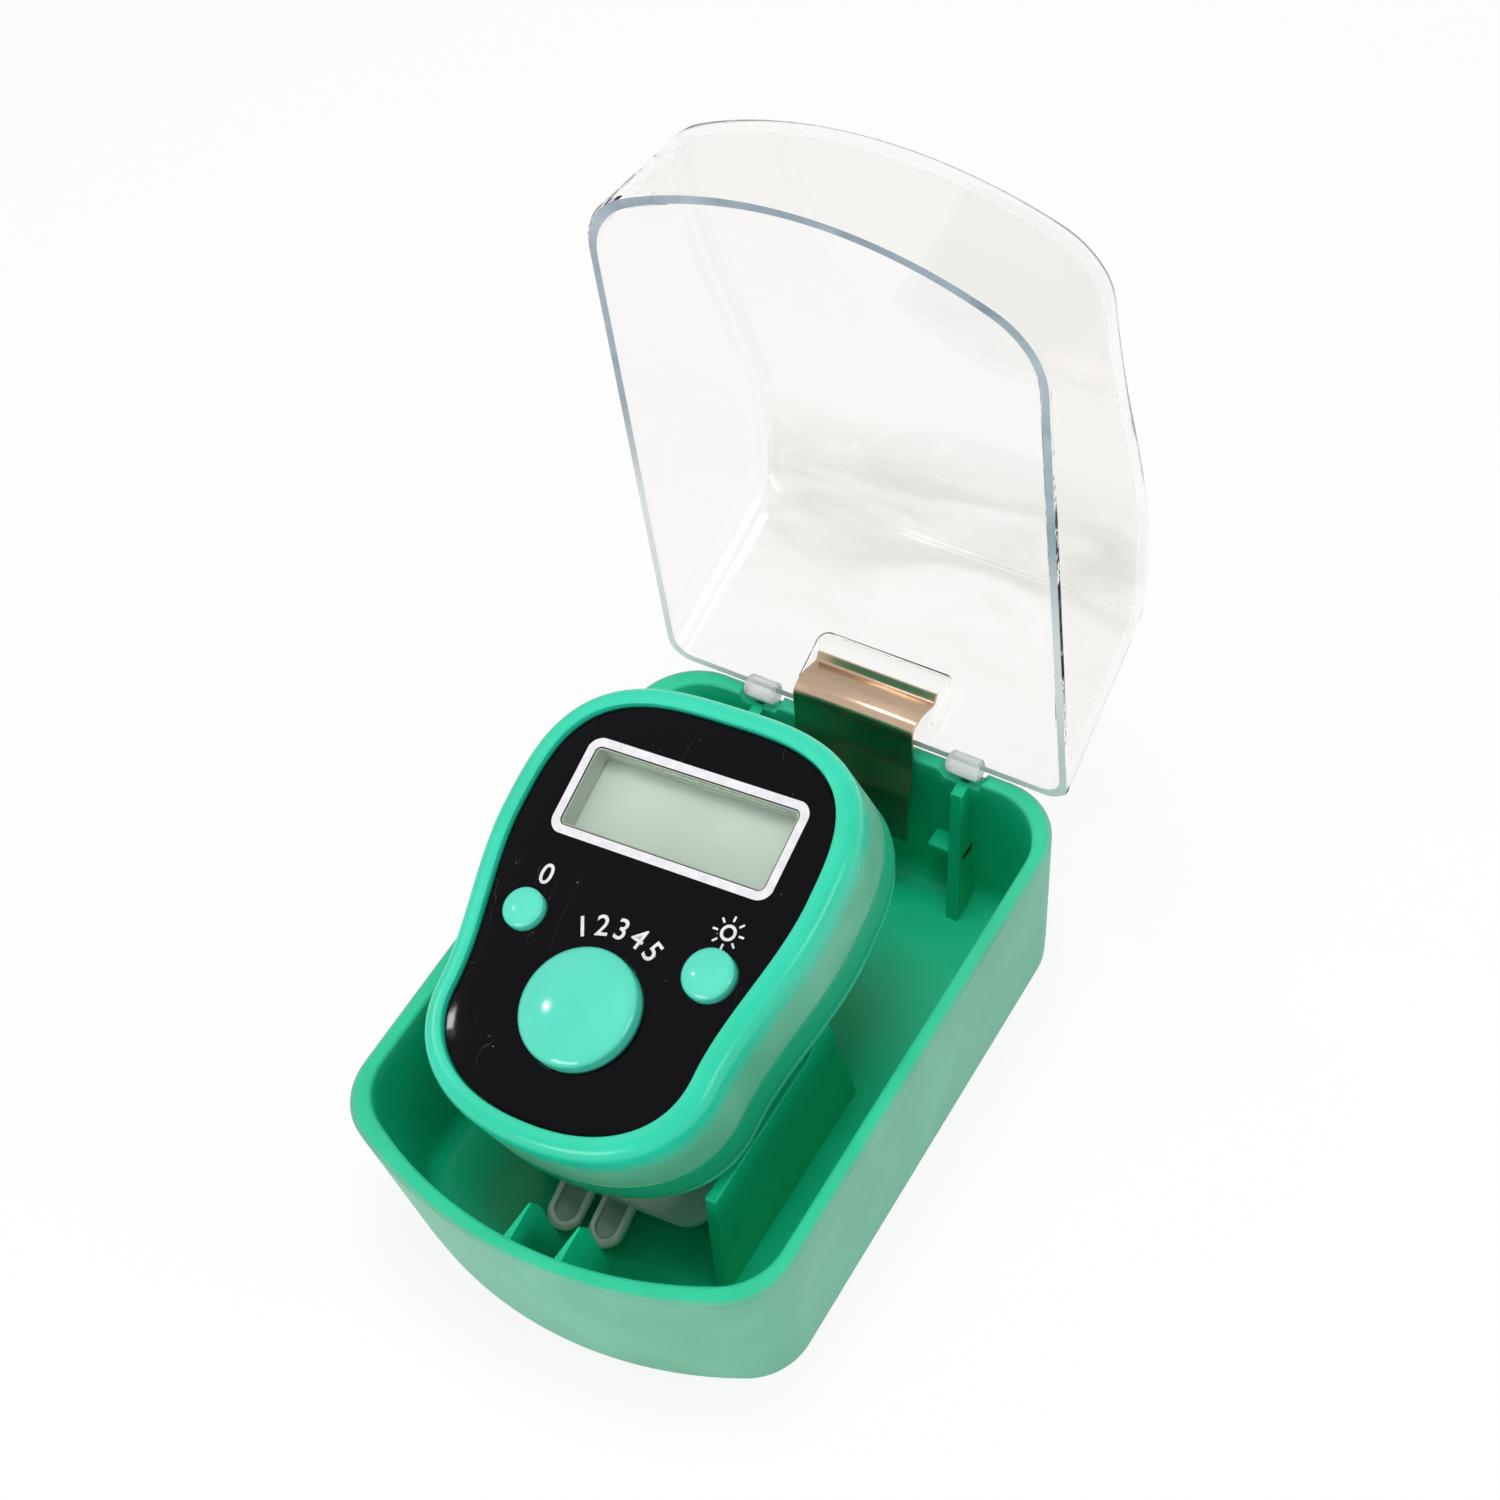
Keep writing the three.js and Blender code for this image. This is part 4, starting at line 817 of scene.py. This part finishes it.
def buildLugs():
    half, radius, rounding = lid["lugLength"] / 2, lid["lugRadius"], lid["lugRound"]
    profile = [(0, -half), (radius - rounding, -half), (radius, rounding - half), (radius, half - rounding),
               (radius - rounding, half), (0, half)]
    for side, label in sides:
        piece = makePiece("lid_lug_" + label, [turnedGrid(profile, 40)])
        piece.data.transform(lidTurn @ placed((side * lid["lugPlace"], 0, 0), (90, "Y")))
        dress(piece, finishes["lidFrost"], *lidDress[1:])


# Hinge spring: a strip whose middle line runs down the tray's rear wall, bends at the hinge and
# lies along the lid.
spring = {
    "halfWidth": 5.6, "thickness": 0.35, "edgeRound": 0.12, "arm": 3.6, "curl": 0.8, "seatGap": 0.25,
    "wallGap": 0.5, "footLean": 2.5, "footZ": 8.3, "kneeLean": 1.3, "kneeZ": 12.7, "bendLean": 0.45,
    "rise": 1.7,
}
springBend = [(1.2, 1.9), (2.2, 1.5)]  # (distance from the hinge, height above the seat)


def springLine():
    turn = lidLean + radians(lid["openAngle"] - 90)
    along = np.array((cos(turn), sin(turn)))
    lift = lid["wall"] + spring["thickness"] / 2 + spring["seatGap"]
    hinge = np.array((lid["hingeY"], lid["hingeZ"]))

    def onLid(distance, above):
        return hinge + along * distance + np.array((-along[1], along[0])) * (lift + above)

    rim = rearInside(tray["height"]) - spring["wallGap"]
    points = [(rim - spring["footLean"], spring["footZ"]), (rim - spring["kneeLean"], spring["kneeZ"]),
              (rim, tray["height"]), (rim + spring["bendLean"], lid["hingeZ"] + lift + spring["rise"]),
              *(onLid(*place) for place in springBend), onLid(spring["arm"], 0),
              onLid(spring["arm"] + spring["curl"], spring["curl"] / 2)]
    stretches = [straightPoints(start, end, 12) for start, end in zip(points[:-1], points[1:])]
    return relaxed(np.vstack([*stretches, [points[-1]]]), 10)


def buildSpring():
    section = roundedRectangle(spring["halfWidth"], spring["thickness"] / 2, spring["edgeRound"], 4)
    y, z = sweep(springLine(), section[:, 1])
    rings = np.dstack([np.broadcast_to(section[:, 0], y.shape), y, z])
    piece = makePiece("spring_strip", [closedGrid(rings, 2)], 50)
    piece.data.materials.append(springMetal)
    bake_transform(piece)
    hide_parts("hinge_spring")


pocket = {"wall": 0.6, "depth": 1.37, "start": 1.7, "corner": 0.8, "edgeRound": 0.18}


# Low ridge round the end of the spring on the inside of the lid.
def buildPocket():
    half, corner, depth = pocket["wall"] / 2, pocket["corner"], pocket["depth"]
    side = spring["halfWidth"] + spring["seatGap"] + half
    end = lid["wall"] + spring["arm"] + spring["curl"] + spring["seatGap"] + half
    line = np.vstack([[(-side, pocket["start"])],
                      arcPoints(corner - side, end - corner, corner, pi, quarterTurn, 8),
                      arcPoints(side - corner, end - corner, corner, quarterTurn, 0, 8),
                      [(side, pocket["start"])]])
    section = roundedRectangle(half, depth / 2, pocket["edgeRound"], 4)
    x, z = sweep(line, section[:, 0])
    y = np.broadcast_to(section[:, 1] - (lid["wall"] + depth) / 2, x.shape)
    piece = makePiece("lid_spring_pocket", [closedGrid(np.dstack([x, y, z]), 2)], 50)
    piece.data.transform(lidTurn @ Matrix.Rotation(lidLean, 4, "X"))
    dress(piece, *lidDress)


buildLid()
buildLugs()
buildSpring()
buildPocket()
print("lid and spring: done")


# Counter: heights and places below are in its own frame, with its origin on its face at the centre
# of the count button

counter = {
    "place": (-1.95, -10.5, 24.2), "yaw": 2.2, "pitch": 14.4, "roll": -5.6,
    "headHalfWidth": 13.05, "headCentre": 13.3, "headRise": 11.3, "headSquareness": 3.2,
    "footHalfWidth": 10.85, "footCentre": -1.6, "footRise": -7.5, "footSquareness": 2.25,
    "seam": -6.1, "groove": 0.09, "grooveFloor": 0.04, "fit": 0.12, "wall": 1.0,
    "bezel": 1.85, "bezelRise": 0.5, "bezelRound": 1.5, "bezelCrest": 0.6, "bezelSquareness": 2.3,
    "lipRound": 0.2,
    "faceThickness": 0.8, "deckThickness": 1.0, "shellBottom": -9.0, "boardTop": -5.08,
    "displayCentre": 16.5, "windowHalfWidth": 9.3, "windowHalfHeight": 3.4,
    "coverTop": -9.12, "coverBottom": -10.37, "coverInset": 0.35, "coverRound": 0.4,
    "flange": 1.0, "bandTop": -1.6, "bandFade": 1.2, "crestWear": 0.5, "crestFrom": 0.3,
}
counterTurn = placed(counter["place"], (counter["yaw"], "Z"), (counter["pitch"], "X"), (counter["roll"], "Y"))
deckTop = -counter["faceThickness"] - counter["fit"]
deckBottom = deckTop - counter["deckThickness"]
flangeTop = deckBottom - counter["fit"]
flangeBottom = flangeTop - counter["flange"]


# One end of the right half of the face: a quarter of a superellipse.
def faceEnd(end, turn):
    power = 2 / counter[end + "Squareness"]
    return np.stack([counter[end + "HalfWidth"] * np.cos(turn) ** power,
                     counter[end + "Centre"] + counter[end + "Rise"] * np.sin(turn) ** power], -1)


# Face's outline: foot, a smooth waist and head on the right, then the same mirrored on the left.
def faceOutline():
    c = counter
    share = np.linspace(0, 1, 40, endpoint=False)
    width = c["footHalfWidth"] + (c["headHalfWidth"] - c["footHalfWidth"]) * share ** 2 * (3 - 2 * share)
    waist = np.stack([width, c["footCentre"] + (c["headCentre"] - c["footCentre"]) * share], -1)
    right = np.vstack([faceEnd("foot", np.linspace(quarterTurn, 0, 60, endpoint=False)), waist,
                       faceEnd("head", np.linspace(0, quarterTurn, 70))])
    right[0, 0] = right[-1, 0] = 0
    return evenlySpaced(np.vstack([right, right[-2:0:-1] * (-1, 1)]), 288)


faceLine = faceOutline()
faceNormals = outwardNormals(faceLine)


# Closed grid of (offset, height) rows round the face's outline.
def faceGrid(rows):
    offsets, heights = zip(*rows)
    return closedGrid(ringGrid([faceLine + faceNormals * offset for offset in offsets], heights))


def windowLine(margin, radius=0.5):
    halfWidth, halfHeight = counter["windowHalfWidth"] + margin, counter["windowHalfHeight"] + margin
    return roundedRectangle(halfWidth, halfHeight, radius) + (0, counter["displayCentre"])


buttons = {
    "count": {"x": 0.0, "y": 0.0, "radius": 4.8, "rise": 2.0, "keep": 0.66},
    "reset": {"x": -8.45, "y": 5.75, "radius": 1.7, "rise": 1.0, "keep": 0.71},
    "light": {"x": 8.45, "y": 5.75, "radius": 2.1, "rise": 1.2, "keep": 0.71},
}
bosses = {"head_end": (0, 22.8), "left": (-7.3, -5.8), "right": (7.3, -5.8)}
buttonGap = 0.2
cap = {"shoulderShare": 0.35, "flangeReach": 0.7, "bevel": 0.1, "flatness": 0.94}
dome = {"gap": 0.12, "wall": 0.35, "narrowShare": 0.5, "wideShare": 0.9, "innerBend": (0.1, 0.8),
        "outerBend": (0.5, 0.9)}


# Cuts the window and the three button holes out of a piece.
def cutFace(piece, margin, bottom, top, sharpAngle):
    cutters = [makePrism("cutter", windowLine(margin), bottom, top)]
    cutters += [makePrism("cutter", disc(b["x"], b["y"], b["radius"] + buttonGap), bottom, top)
                for b in buttons.values()]
    cutOut(piece, cutters, sharpAngle)


def settle(piece, material, slot, node, body="counter"):
    piece.data.transform(counterTurn)
    dress(piece, material, body, slot, node)


# Rows up the shell's skirt, past the seam's groove, over the bezel and down its inner lip.
def shellRows():
    c = counter
    wide, inner, bottom, seam = c["bezel"], c["bezel"] - c["wall"], c["shellBottom"], c["seam"]
    groove, crest, power = c["groove"], c["bezelCrest"], 2 / c["bezelSquareness"]
    rows = [(inner, deckBottom), (inner, bottom + 0.1), (inner + 0.1, bottom), (wide - 0.15, bottom),
            (wide - 0.04, bottom + 0.04)]
    rows += [(wide, z) for z in np.linspace(bottom + 0.15, seam - groove, 5)]
    rows += [(wide - groove, seam - c["grooveFloor"]), (wide - groove, seam + c["grooveFloor"])]
    rows += [(wide, z) for z in np.linspace(seam + groove, c["bezelRise"] - c["bezelRound"], 6)]
    rows += [(crest + (wide - crest) * cos(t) ** power,
              c["bezelRise"] - c["bezelRound"] * (1 - sin(t) ** power))
             for t in np.linspace(0, quarterTurn, 14)[1:]]
    rows += [(c["fit"] + c["lipRound"] * (1 - sin(t)),
              c["bezelRise"] - c["lipRound"] * (1 - cos(t))) for t in np.linspace(0, quarterTurn, 6)]
    return rows + [(c["fit"], deckTop)]


# Casing with a pale band down its side, a worn crest, and a painted shade below the seam: a darker tone where
# its lower band sits in shadow.
def buildFrontShell():
    c, rows = counter, shellRows()
    grid = faceGrid(rows)
    heights = grid[:, :, 2].ravel()
    offsets = np.repeat(np.pad([offset for offset, _ in rows], capSteps), len(faceLine))
    band = (offsets > c["bezel"] - 0.1) * np.clip((c["bandTop"] - heights) / c["bandFade"], 0, 1)
    # Painted shade: the band below the seam takes the darker low colour.
    low = np.clip((c["seam"] - heights) / 0.1, 0, 1)
    worn = np.clip(1 - np.abs(offsets - c["crestWear"]) / c["crestWear"], 0, 1)
    traits = {"outside": band, "edge": worn * (heights > c["crestFrom"]), "low": low}
    piece = makePiece("front_shell_moulding", [grid], 45, traits)
    cutFace(piece, 0.0, deckBottom - 1, deckTop + 1, 45)
    settle(piece, shellPlastic, "shell_plastic", "front_shell")


# Screw posts that reach from the deck to the back cover.
def buildPosts():
    low, high, bore, radius, flare = counter["shellBottom"], deckBottom - 0.01, 0.55, 1.35, 1.6
    profile = [(bore, low), (radius - 0.1, low), (radius, low + 0.1), (radius, high - 0.3), (flare, high),
               (bore, high), (bore, low)]
    for label, (x, y) in bosses.items():
        settle(makePiece("front_shell_post_" + label, [turnedGrid(profile, 40, x, y)]),
               shellPlastic, "shell_plastic", "front_shell")


# Black sheet with a rounded rim, and the grey frame that lines its window.
def buildFacePlate():
    thickness, rim = counter["faceThickness"], 0.14
    rows = [(-0.1, -thickness), (0, 0.1 - thickness), (0, -rim)]
    rows += [(rim * (cos(t) - 1), rim * (sin(t) - 1)) for t in np.linspace(0, quarterTurn, 5)[1:]]
    piece = makePiece("face_plate_sheet", [faceGrid(rows)], 50)
    cutFace(piece, 0.02, -2, 1, 40)
    settle(piece, glossBlack, "black_face", "face_plate")
    buildBand("window_frame", windowLine(-0.12, 0.45), windowLine(-0.01, 0.5), deckBottom - 0.05, -0.05,
              finishes["windowGrey"])


# Flat band between two outlines on the face.
def buildBand(name, inner, outer, bottom, top, material):
    rings = ringGrid([inner, outer, outer, inner, inner], [bottom, bottom, top, top, bottom])
    settle(makePiece(name, [rings]), material, "black_face", "face_plate")


def buildLens():
    inside, outline = windowLine(-0.22, 0.35), windowLine(-0.16, 0.4)
    rings = ringGrid([inside, outline, outline, inside], [-0.8, -0.74, -0.26, -0.2])
    settle(makePiece("window_pane", [closedGrid(rings, 2)]), lensPlastic, "window_plastic", "window_lens")


# White print on the face: a line round the window, numbers and a small lamp sign
printing = {
    "height": 0.02, "sunk": 0.01, "lineStart": 0.08, "lineWidth": 0.72, "digitHeight": 1.75,
    "typeScale": 1.36, "typeGrowth": 0.02, "arcRadius": 6.75, "arcStart": 28, "arcStep": 14,
    "zeroPlace": (0.3, 3.1), "signPlace": (-0.2, 3.55),
    "signInner": 0.42, "signOuter": 0.66, "rayPlace": 1.14, "rayHalfLength": 0.24, "rayHalfWidth": 0.09,
}


def flatPrint(name, inner, outer):
    buildBand(name, inner, outer, -printing["sunk"], printing["height"], finishes["whitePrint"])


def printDigit(name, text, x, y, turn=0.0):
    curve = bpy.data.curves.new(name, "FONT")
    curve.body = text
    curve.size = printing["digitHeight"] * printing["typeScale"] * mm
    curve.align_x, curve.align_y = "CENTER", "CENTER"
    curve.extrude = printing["height"] / 2 * mm
    curve.offset = printing["typeGrowth"] * mm
    drawn = addObject(name, curve)
    mesh = finalMesh(drawn)
    bpy.data.objects.remove(drawn)
    mesh.transform(placed((x, y, printing["height"] / 2), (turn, "Z")))
    settle(finishMesh(name, mesh, 30), finishes["whitePrint"], "black_face", "face_plate")


def buildPrinting():
    p, start = printing, printing["lineStart"]
    flatPrint("window_line", windowLine(start, 0.6), windowLine(start + p["lineWidth"], 1.25))
    zeroX, zeroY = p["zeroPlace"]
    printDigit("reset_zero", "0", buttons["reset"]["x"] + zeroX, buttons["reset"]["y"] + zeroY)
    for digit in range(5):
        turn = p["arcStart"] - p["arcStep"] * digit
        x, y = -p["arcRadius"] * sin(radians(turn)), p["arcRadius"] * cos(radians(turn))
        printDigit(f"count_digit_{digit + 1}", str(digit + 1), x, y, turn)
    x, y = (buttons["light"][axis] + shift for axis, shift in zip("xy", p["signPlace"]))
    flatPrint("lamp_sign_ring", disc(x, y, p["signInner"], 40), disc(x, y, p["signOuter"], 40))
    outline = roundedRectangle(p["rayHalfLength"], p["rayHalfWidth"], 0.08, 4) + (p["rayPlace"], 0)
    for ray in range(8):
        angle = ray * pi / 4
        spin = np.array([[cos(angle), sin(angle)], [-sin(angle), cos(angle)]])
        piece = makePrism(f"lamp_sign_ray_{ray + 1}", outline @ spin + (x, y), -p["sunk"], p["height"])
        settle(piece, finishes["whitePrint"], "black_face", "face_plate")


# Button: flange under the deck, straight side, then a rounded crown that flattens to the middle.
def buildButton(label, b):
    shoulder, radius, bevel = b["rise"] * cap["shoulderShare"], b["radius"], cap["bevel"]
    wide = radius + cap["flangeReach"]
    crown = [(radius * cos(t) ** cap["flatness"], shoulder + (b["rise"] - shoulder) * sin(t))
             for t in np.linspace(0, quarterTurn, 22)[:-1]]
    profile = [(0, flangeBottom), (wide - bevel, flangeBottom), (wide, flangeBottom + bevel),
               (wide, flangeTop - bevel), (wide - bevel, flangeTop), (radius, flangeTop), *crown,
               (0, b["rise"])]
    piece = makePiece(label + "_button_cap", [turnedGrid(profile, 96, b["x"], b["y"])], 40)
    settle(piece, buttonPlastic, "button_plastic", label + "_button", label + "_button")


# Dome: a rubber cone from the board up to the button's flange, which is squashed by the press.
def buildDome(label, b):
    top, base, thick = flangeBottom - dome["gap"], counter["boardTop"] + dome["gap"], dome["wall"]
    narrow, wide = b["radius"] * dome["narrowShare"], b["radius"] * dome["wideShare"]
    bends = [(narrow + out, top - down) for out, down in (dome["innerBend"], dome["outerBend"])]
    inside = smoothCurve([(narrow - thick, top - thick), bends[0], (wide - thick, base)], 8)
    outside = smoothCurve([(wide, base), bends[1], (narrow, top - 0.08)], 8)
    profile = [(0, top - thick), *inside, *outside, (narrow - 0.1, top), (0, top)]
    piece = makePiece(label + "_rubber_dome", [turnedGrid(profile, 64, b["x"], b["y"])], 40)
    settle(piece, finishes["domeRubber"], "dome_rubber", label + "_dome")
    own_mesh(piece)


buildFrontShell()
buildPosts()
buildFacePlate()
buildLens()
buildPrinting()
for label, b in buttons.items():
    buildButton(label, b)
    buildDome(label, b)
print("counter front: done")


# Finger strap: two curved bands that overlap under the counter, each with a bar inside the back cover

strap = {
    "thickness": 0.96, "halfWidth": 9.95, "drop": 4.65, "centre": -15.2, "layerStep": 0.65, "armTurn": 125,
    "slotFront": -3.4, "slotRear": 4.4, "front": -9.5, "rear": 7, "barWidth": 1.8, "barHeight": 0.8,
    "tabWidth": 3.0, "tabLength": 3.8, "tabThickness": 0.8, "tabDish": 0.2, "tabTurns": (-26, -2),
    "tabInsets": (0.62, 0.46, 0.16, 0),
}
bands = {
    label: {"side": side, "end": end, "halfWidth": strap["halfWidth"] - side * strap["layerStep"],
            "drop": strap["drop"] - side * strap["layerStep"]}
    for label, side, end in (("long", 1, -72), ("short", -1, -8))
}


def ringPoint(band, turn):
    return np.stack([band["halfWidth"] * np.sin(turn), strap["centre"] - band["drop"] * np.cos(turn)], -1)


def armX(band):
    return band["side"] * band["halfWidth"] * sin(radians(strap["armTurn"]))


# Strap band: a rounded strip whose middle line comes down out of its slot and follows an oval; its
# front and rear edges spread from the slot's ends to the band's full length.
def bandGrid(band, x):
    start, end = band["side"] * radians(strap["armTurn"]), radians(band["end"])
    turn, armSteps = np.linspace(start, end, 72), 8
    arm = [(x, z) for z in np.linspace(counter["shellBottom"] + 0.4, counter["coverBottom"] - 1.0, armSteps)]
    line = np.vstack([arm, ringPoint(band, turn)])
    smooth = relaxed(line.copy(), 3)
    smooth[:armSteps - 1] = line[:armSteps - 1]
    share = np.clip(np.abs(start - turn) / quarterTurn, 0, 1)
    spread = np.concatenate([np.zeros(armSteps), share ** 2 * (3 - 2 * share)])[:, None]
    front = strap["slotFront"] + (strap["front"] - strap["slotFront"]) * spread
    rear = strap["slotRear"] + (strap["rear"] - strap["slotRear"]) * spread
    halfLength, thickness = 3.9, strap["thickness"]
    edge = roundedRectangle(halfLength, thickness / 2, thickness * 0.42, 5)
    way = np.sign(edge[:, 0])
    y = (front + rear) / 2 + way * (rear - front) / 2 + edge[:, 0] - way * halfLength
    x, z = sweep(smooth, edge[:, 1])
    return closedGrid(np.dstack([x, y, z]), 2)


def buildStrapBand(label, band):
    x, z = armX(band), counter["shellBottom"] + strap["barHeight"] / 2
    bar = roundedRectangle(strap["barWidth"] / 2, strap["barHeight"] / 2, 0.25, 4)
    barRings = np.array([np.column_stack([x + bar[:, 0], np.full(len(bar), stop), z + bar[:, 1]])
                         for stop in (strap["slotFront"], strap["slotRear"])])
    grids = [bandGrid(band, x), closedGrid(barRings, 1)]
    paler = np.full(sum(grid.size for grid in grids) // 3, 0.6)
    piece = makePiece("strap_" + label + "_band", grids, 50, {"edge": paler})
    settle(piece, finishes["strapSilicone"], "strap_silicone", "strap_" + label)


# Tab: a flat tongue with a round end and dished faces, standing out from the band's front edge.
def buildTab(index, angle):
    band, half, length = bands["long"], strap["tabWidth"] / 2, strap["tabLength"]
    outline = np.vstack([[(half, half), (-half, half)],
                         arcPoints(0, half - length, half, pi, 2 * pi, 20), [(half, half - length)]])
    middle = (0, half - length / 2)
    lines = [(outline - middle) * (1 - inset / half, 1 - inset / (length / 2 + half / 2)) + middle
             for inset in strap["tabInsets"]]
    top = strap["tabThickness"] / 2
    levels = [top - strap["tabDish"], top, top, top - 0.16]
    rings = ringGrid([*lines, *lines[::-1]], [*(-level for level in levels), *levels[::-1]])
    # Painted highlight: the rim rows get the edge trait, so the tab's rim shows paler than its dished middle.
    rim = [0, 0, 0, 1, 1, 1, 1, 1, 1, 0, 0, 0]
    edge = np.repeat(rim, len(outline))
    piece = makePiece(f"strap_tab_{index}", [closedGrid(rings, 2)], 40, {"edge": edge})
    turn = radians(angle)
    x, z = ringPoint(band, turn)
    climb = degrees(atan2(band["drop"] * sin(turn), band["halfWidth"] * cos(turn)))
    piece.data.transform(placed((x, strap["front"], z), (-climb, "Y")))
    settle(piece, finishes["strapSilicone"], "strap_silicone", "strap_long")


for label, band in bands.items():
    buildStrapBand(label, band)
for index, angle in enumerate(strap["tabTurns"]):
    buildTab(index + 1, angle)
print("strap: done")


# Back cover: a smooth plate with a rounded edge, two strap slots and three screw holes

cover = {"slotGap": 0.2, "holeRadius": 0.62, "headRadius": 1.45, "headDepth": 0.67, "below": -12, "above": -8}


def buildBackCover():
    c, low, high = counter, cover["below"], cover["above"]
    wide, rounding, gap = c["bezel"] - c["coverInset"], c["coverRound"], cover["slotGap"]
    rows = [(wide - rounding + rounding * cos(t), c["coverBottom"] + rounding * (1 - sin(t)))
            for t in np.linspace(quarterTurn, 0, 6)]
    rows += [(wide, c["coverTop"] - 0.1), (wide - 0.1, c["coverTop"])]
    grid = faceGrid(rows)
    piece = makePiece("back_cover_plate", [grid], 45, {"outside": np.full(grid.size // 3, 0.4)})
    front, rear = strap["slotFront"] - gap, strap["slotRear"] + gap
    cutters = []
    for band in bands.values():
        for width, bottom in ((strap["thickness"], low), (strap["barWidth"], c["coverTop"] - 0.001)):
            slot = roundedRectangle(width / 2 + gap, (rear - front) / 2, 0.2, 4)
            cutters.append(makePrism("cutter", slot + (armX(band), (front + rear) / 2), bottom, high))
    for x, y in bosses.values():
        cutters.append(makePrism("cutter", disc(x, y, cover["holeRadius"], 32), low, high))
        cutters.append(makePrism("cutter", disc(x, y, cover["headRadius"], 48),
                                 low, c["coverBottom"] + cover["headDepth"]))
    cutOut(piece, cutters, 40)
    settle(piece, shellPlastic, "shell_plastic", "back_cover")


buildBackCover()
print("back cover: done")


# Pieces kept from the frame get their finish here

keptFinishes = {
    "displayFilm": ["display_glass"],
    "diffuserPlastic": ["light_guide", "backlight_lamp_left", "backlight_lamp_right"],
    "domeRubber": ["elastomer_strip"],
    "boardLaminate": ["circuit_board"],
    "blackEpoxy": ["chip_blob"],
    "cellSteel": ["button_cell"],
    "contactBrass": ["upper_contact", "lower_contact"],
    "screwSteel": ["cover_screw_head_end", "cover_screw_left", "cover_screw_right"],
}
for finish, names in keptFinishes.items():
    for name in names:
        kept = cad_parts[name].data.materials
        kept.clear()
        kept.append(finishes[finish])

bpy.context.scene.view_settings.view_transform = "Standard"
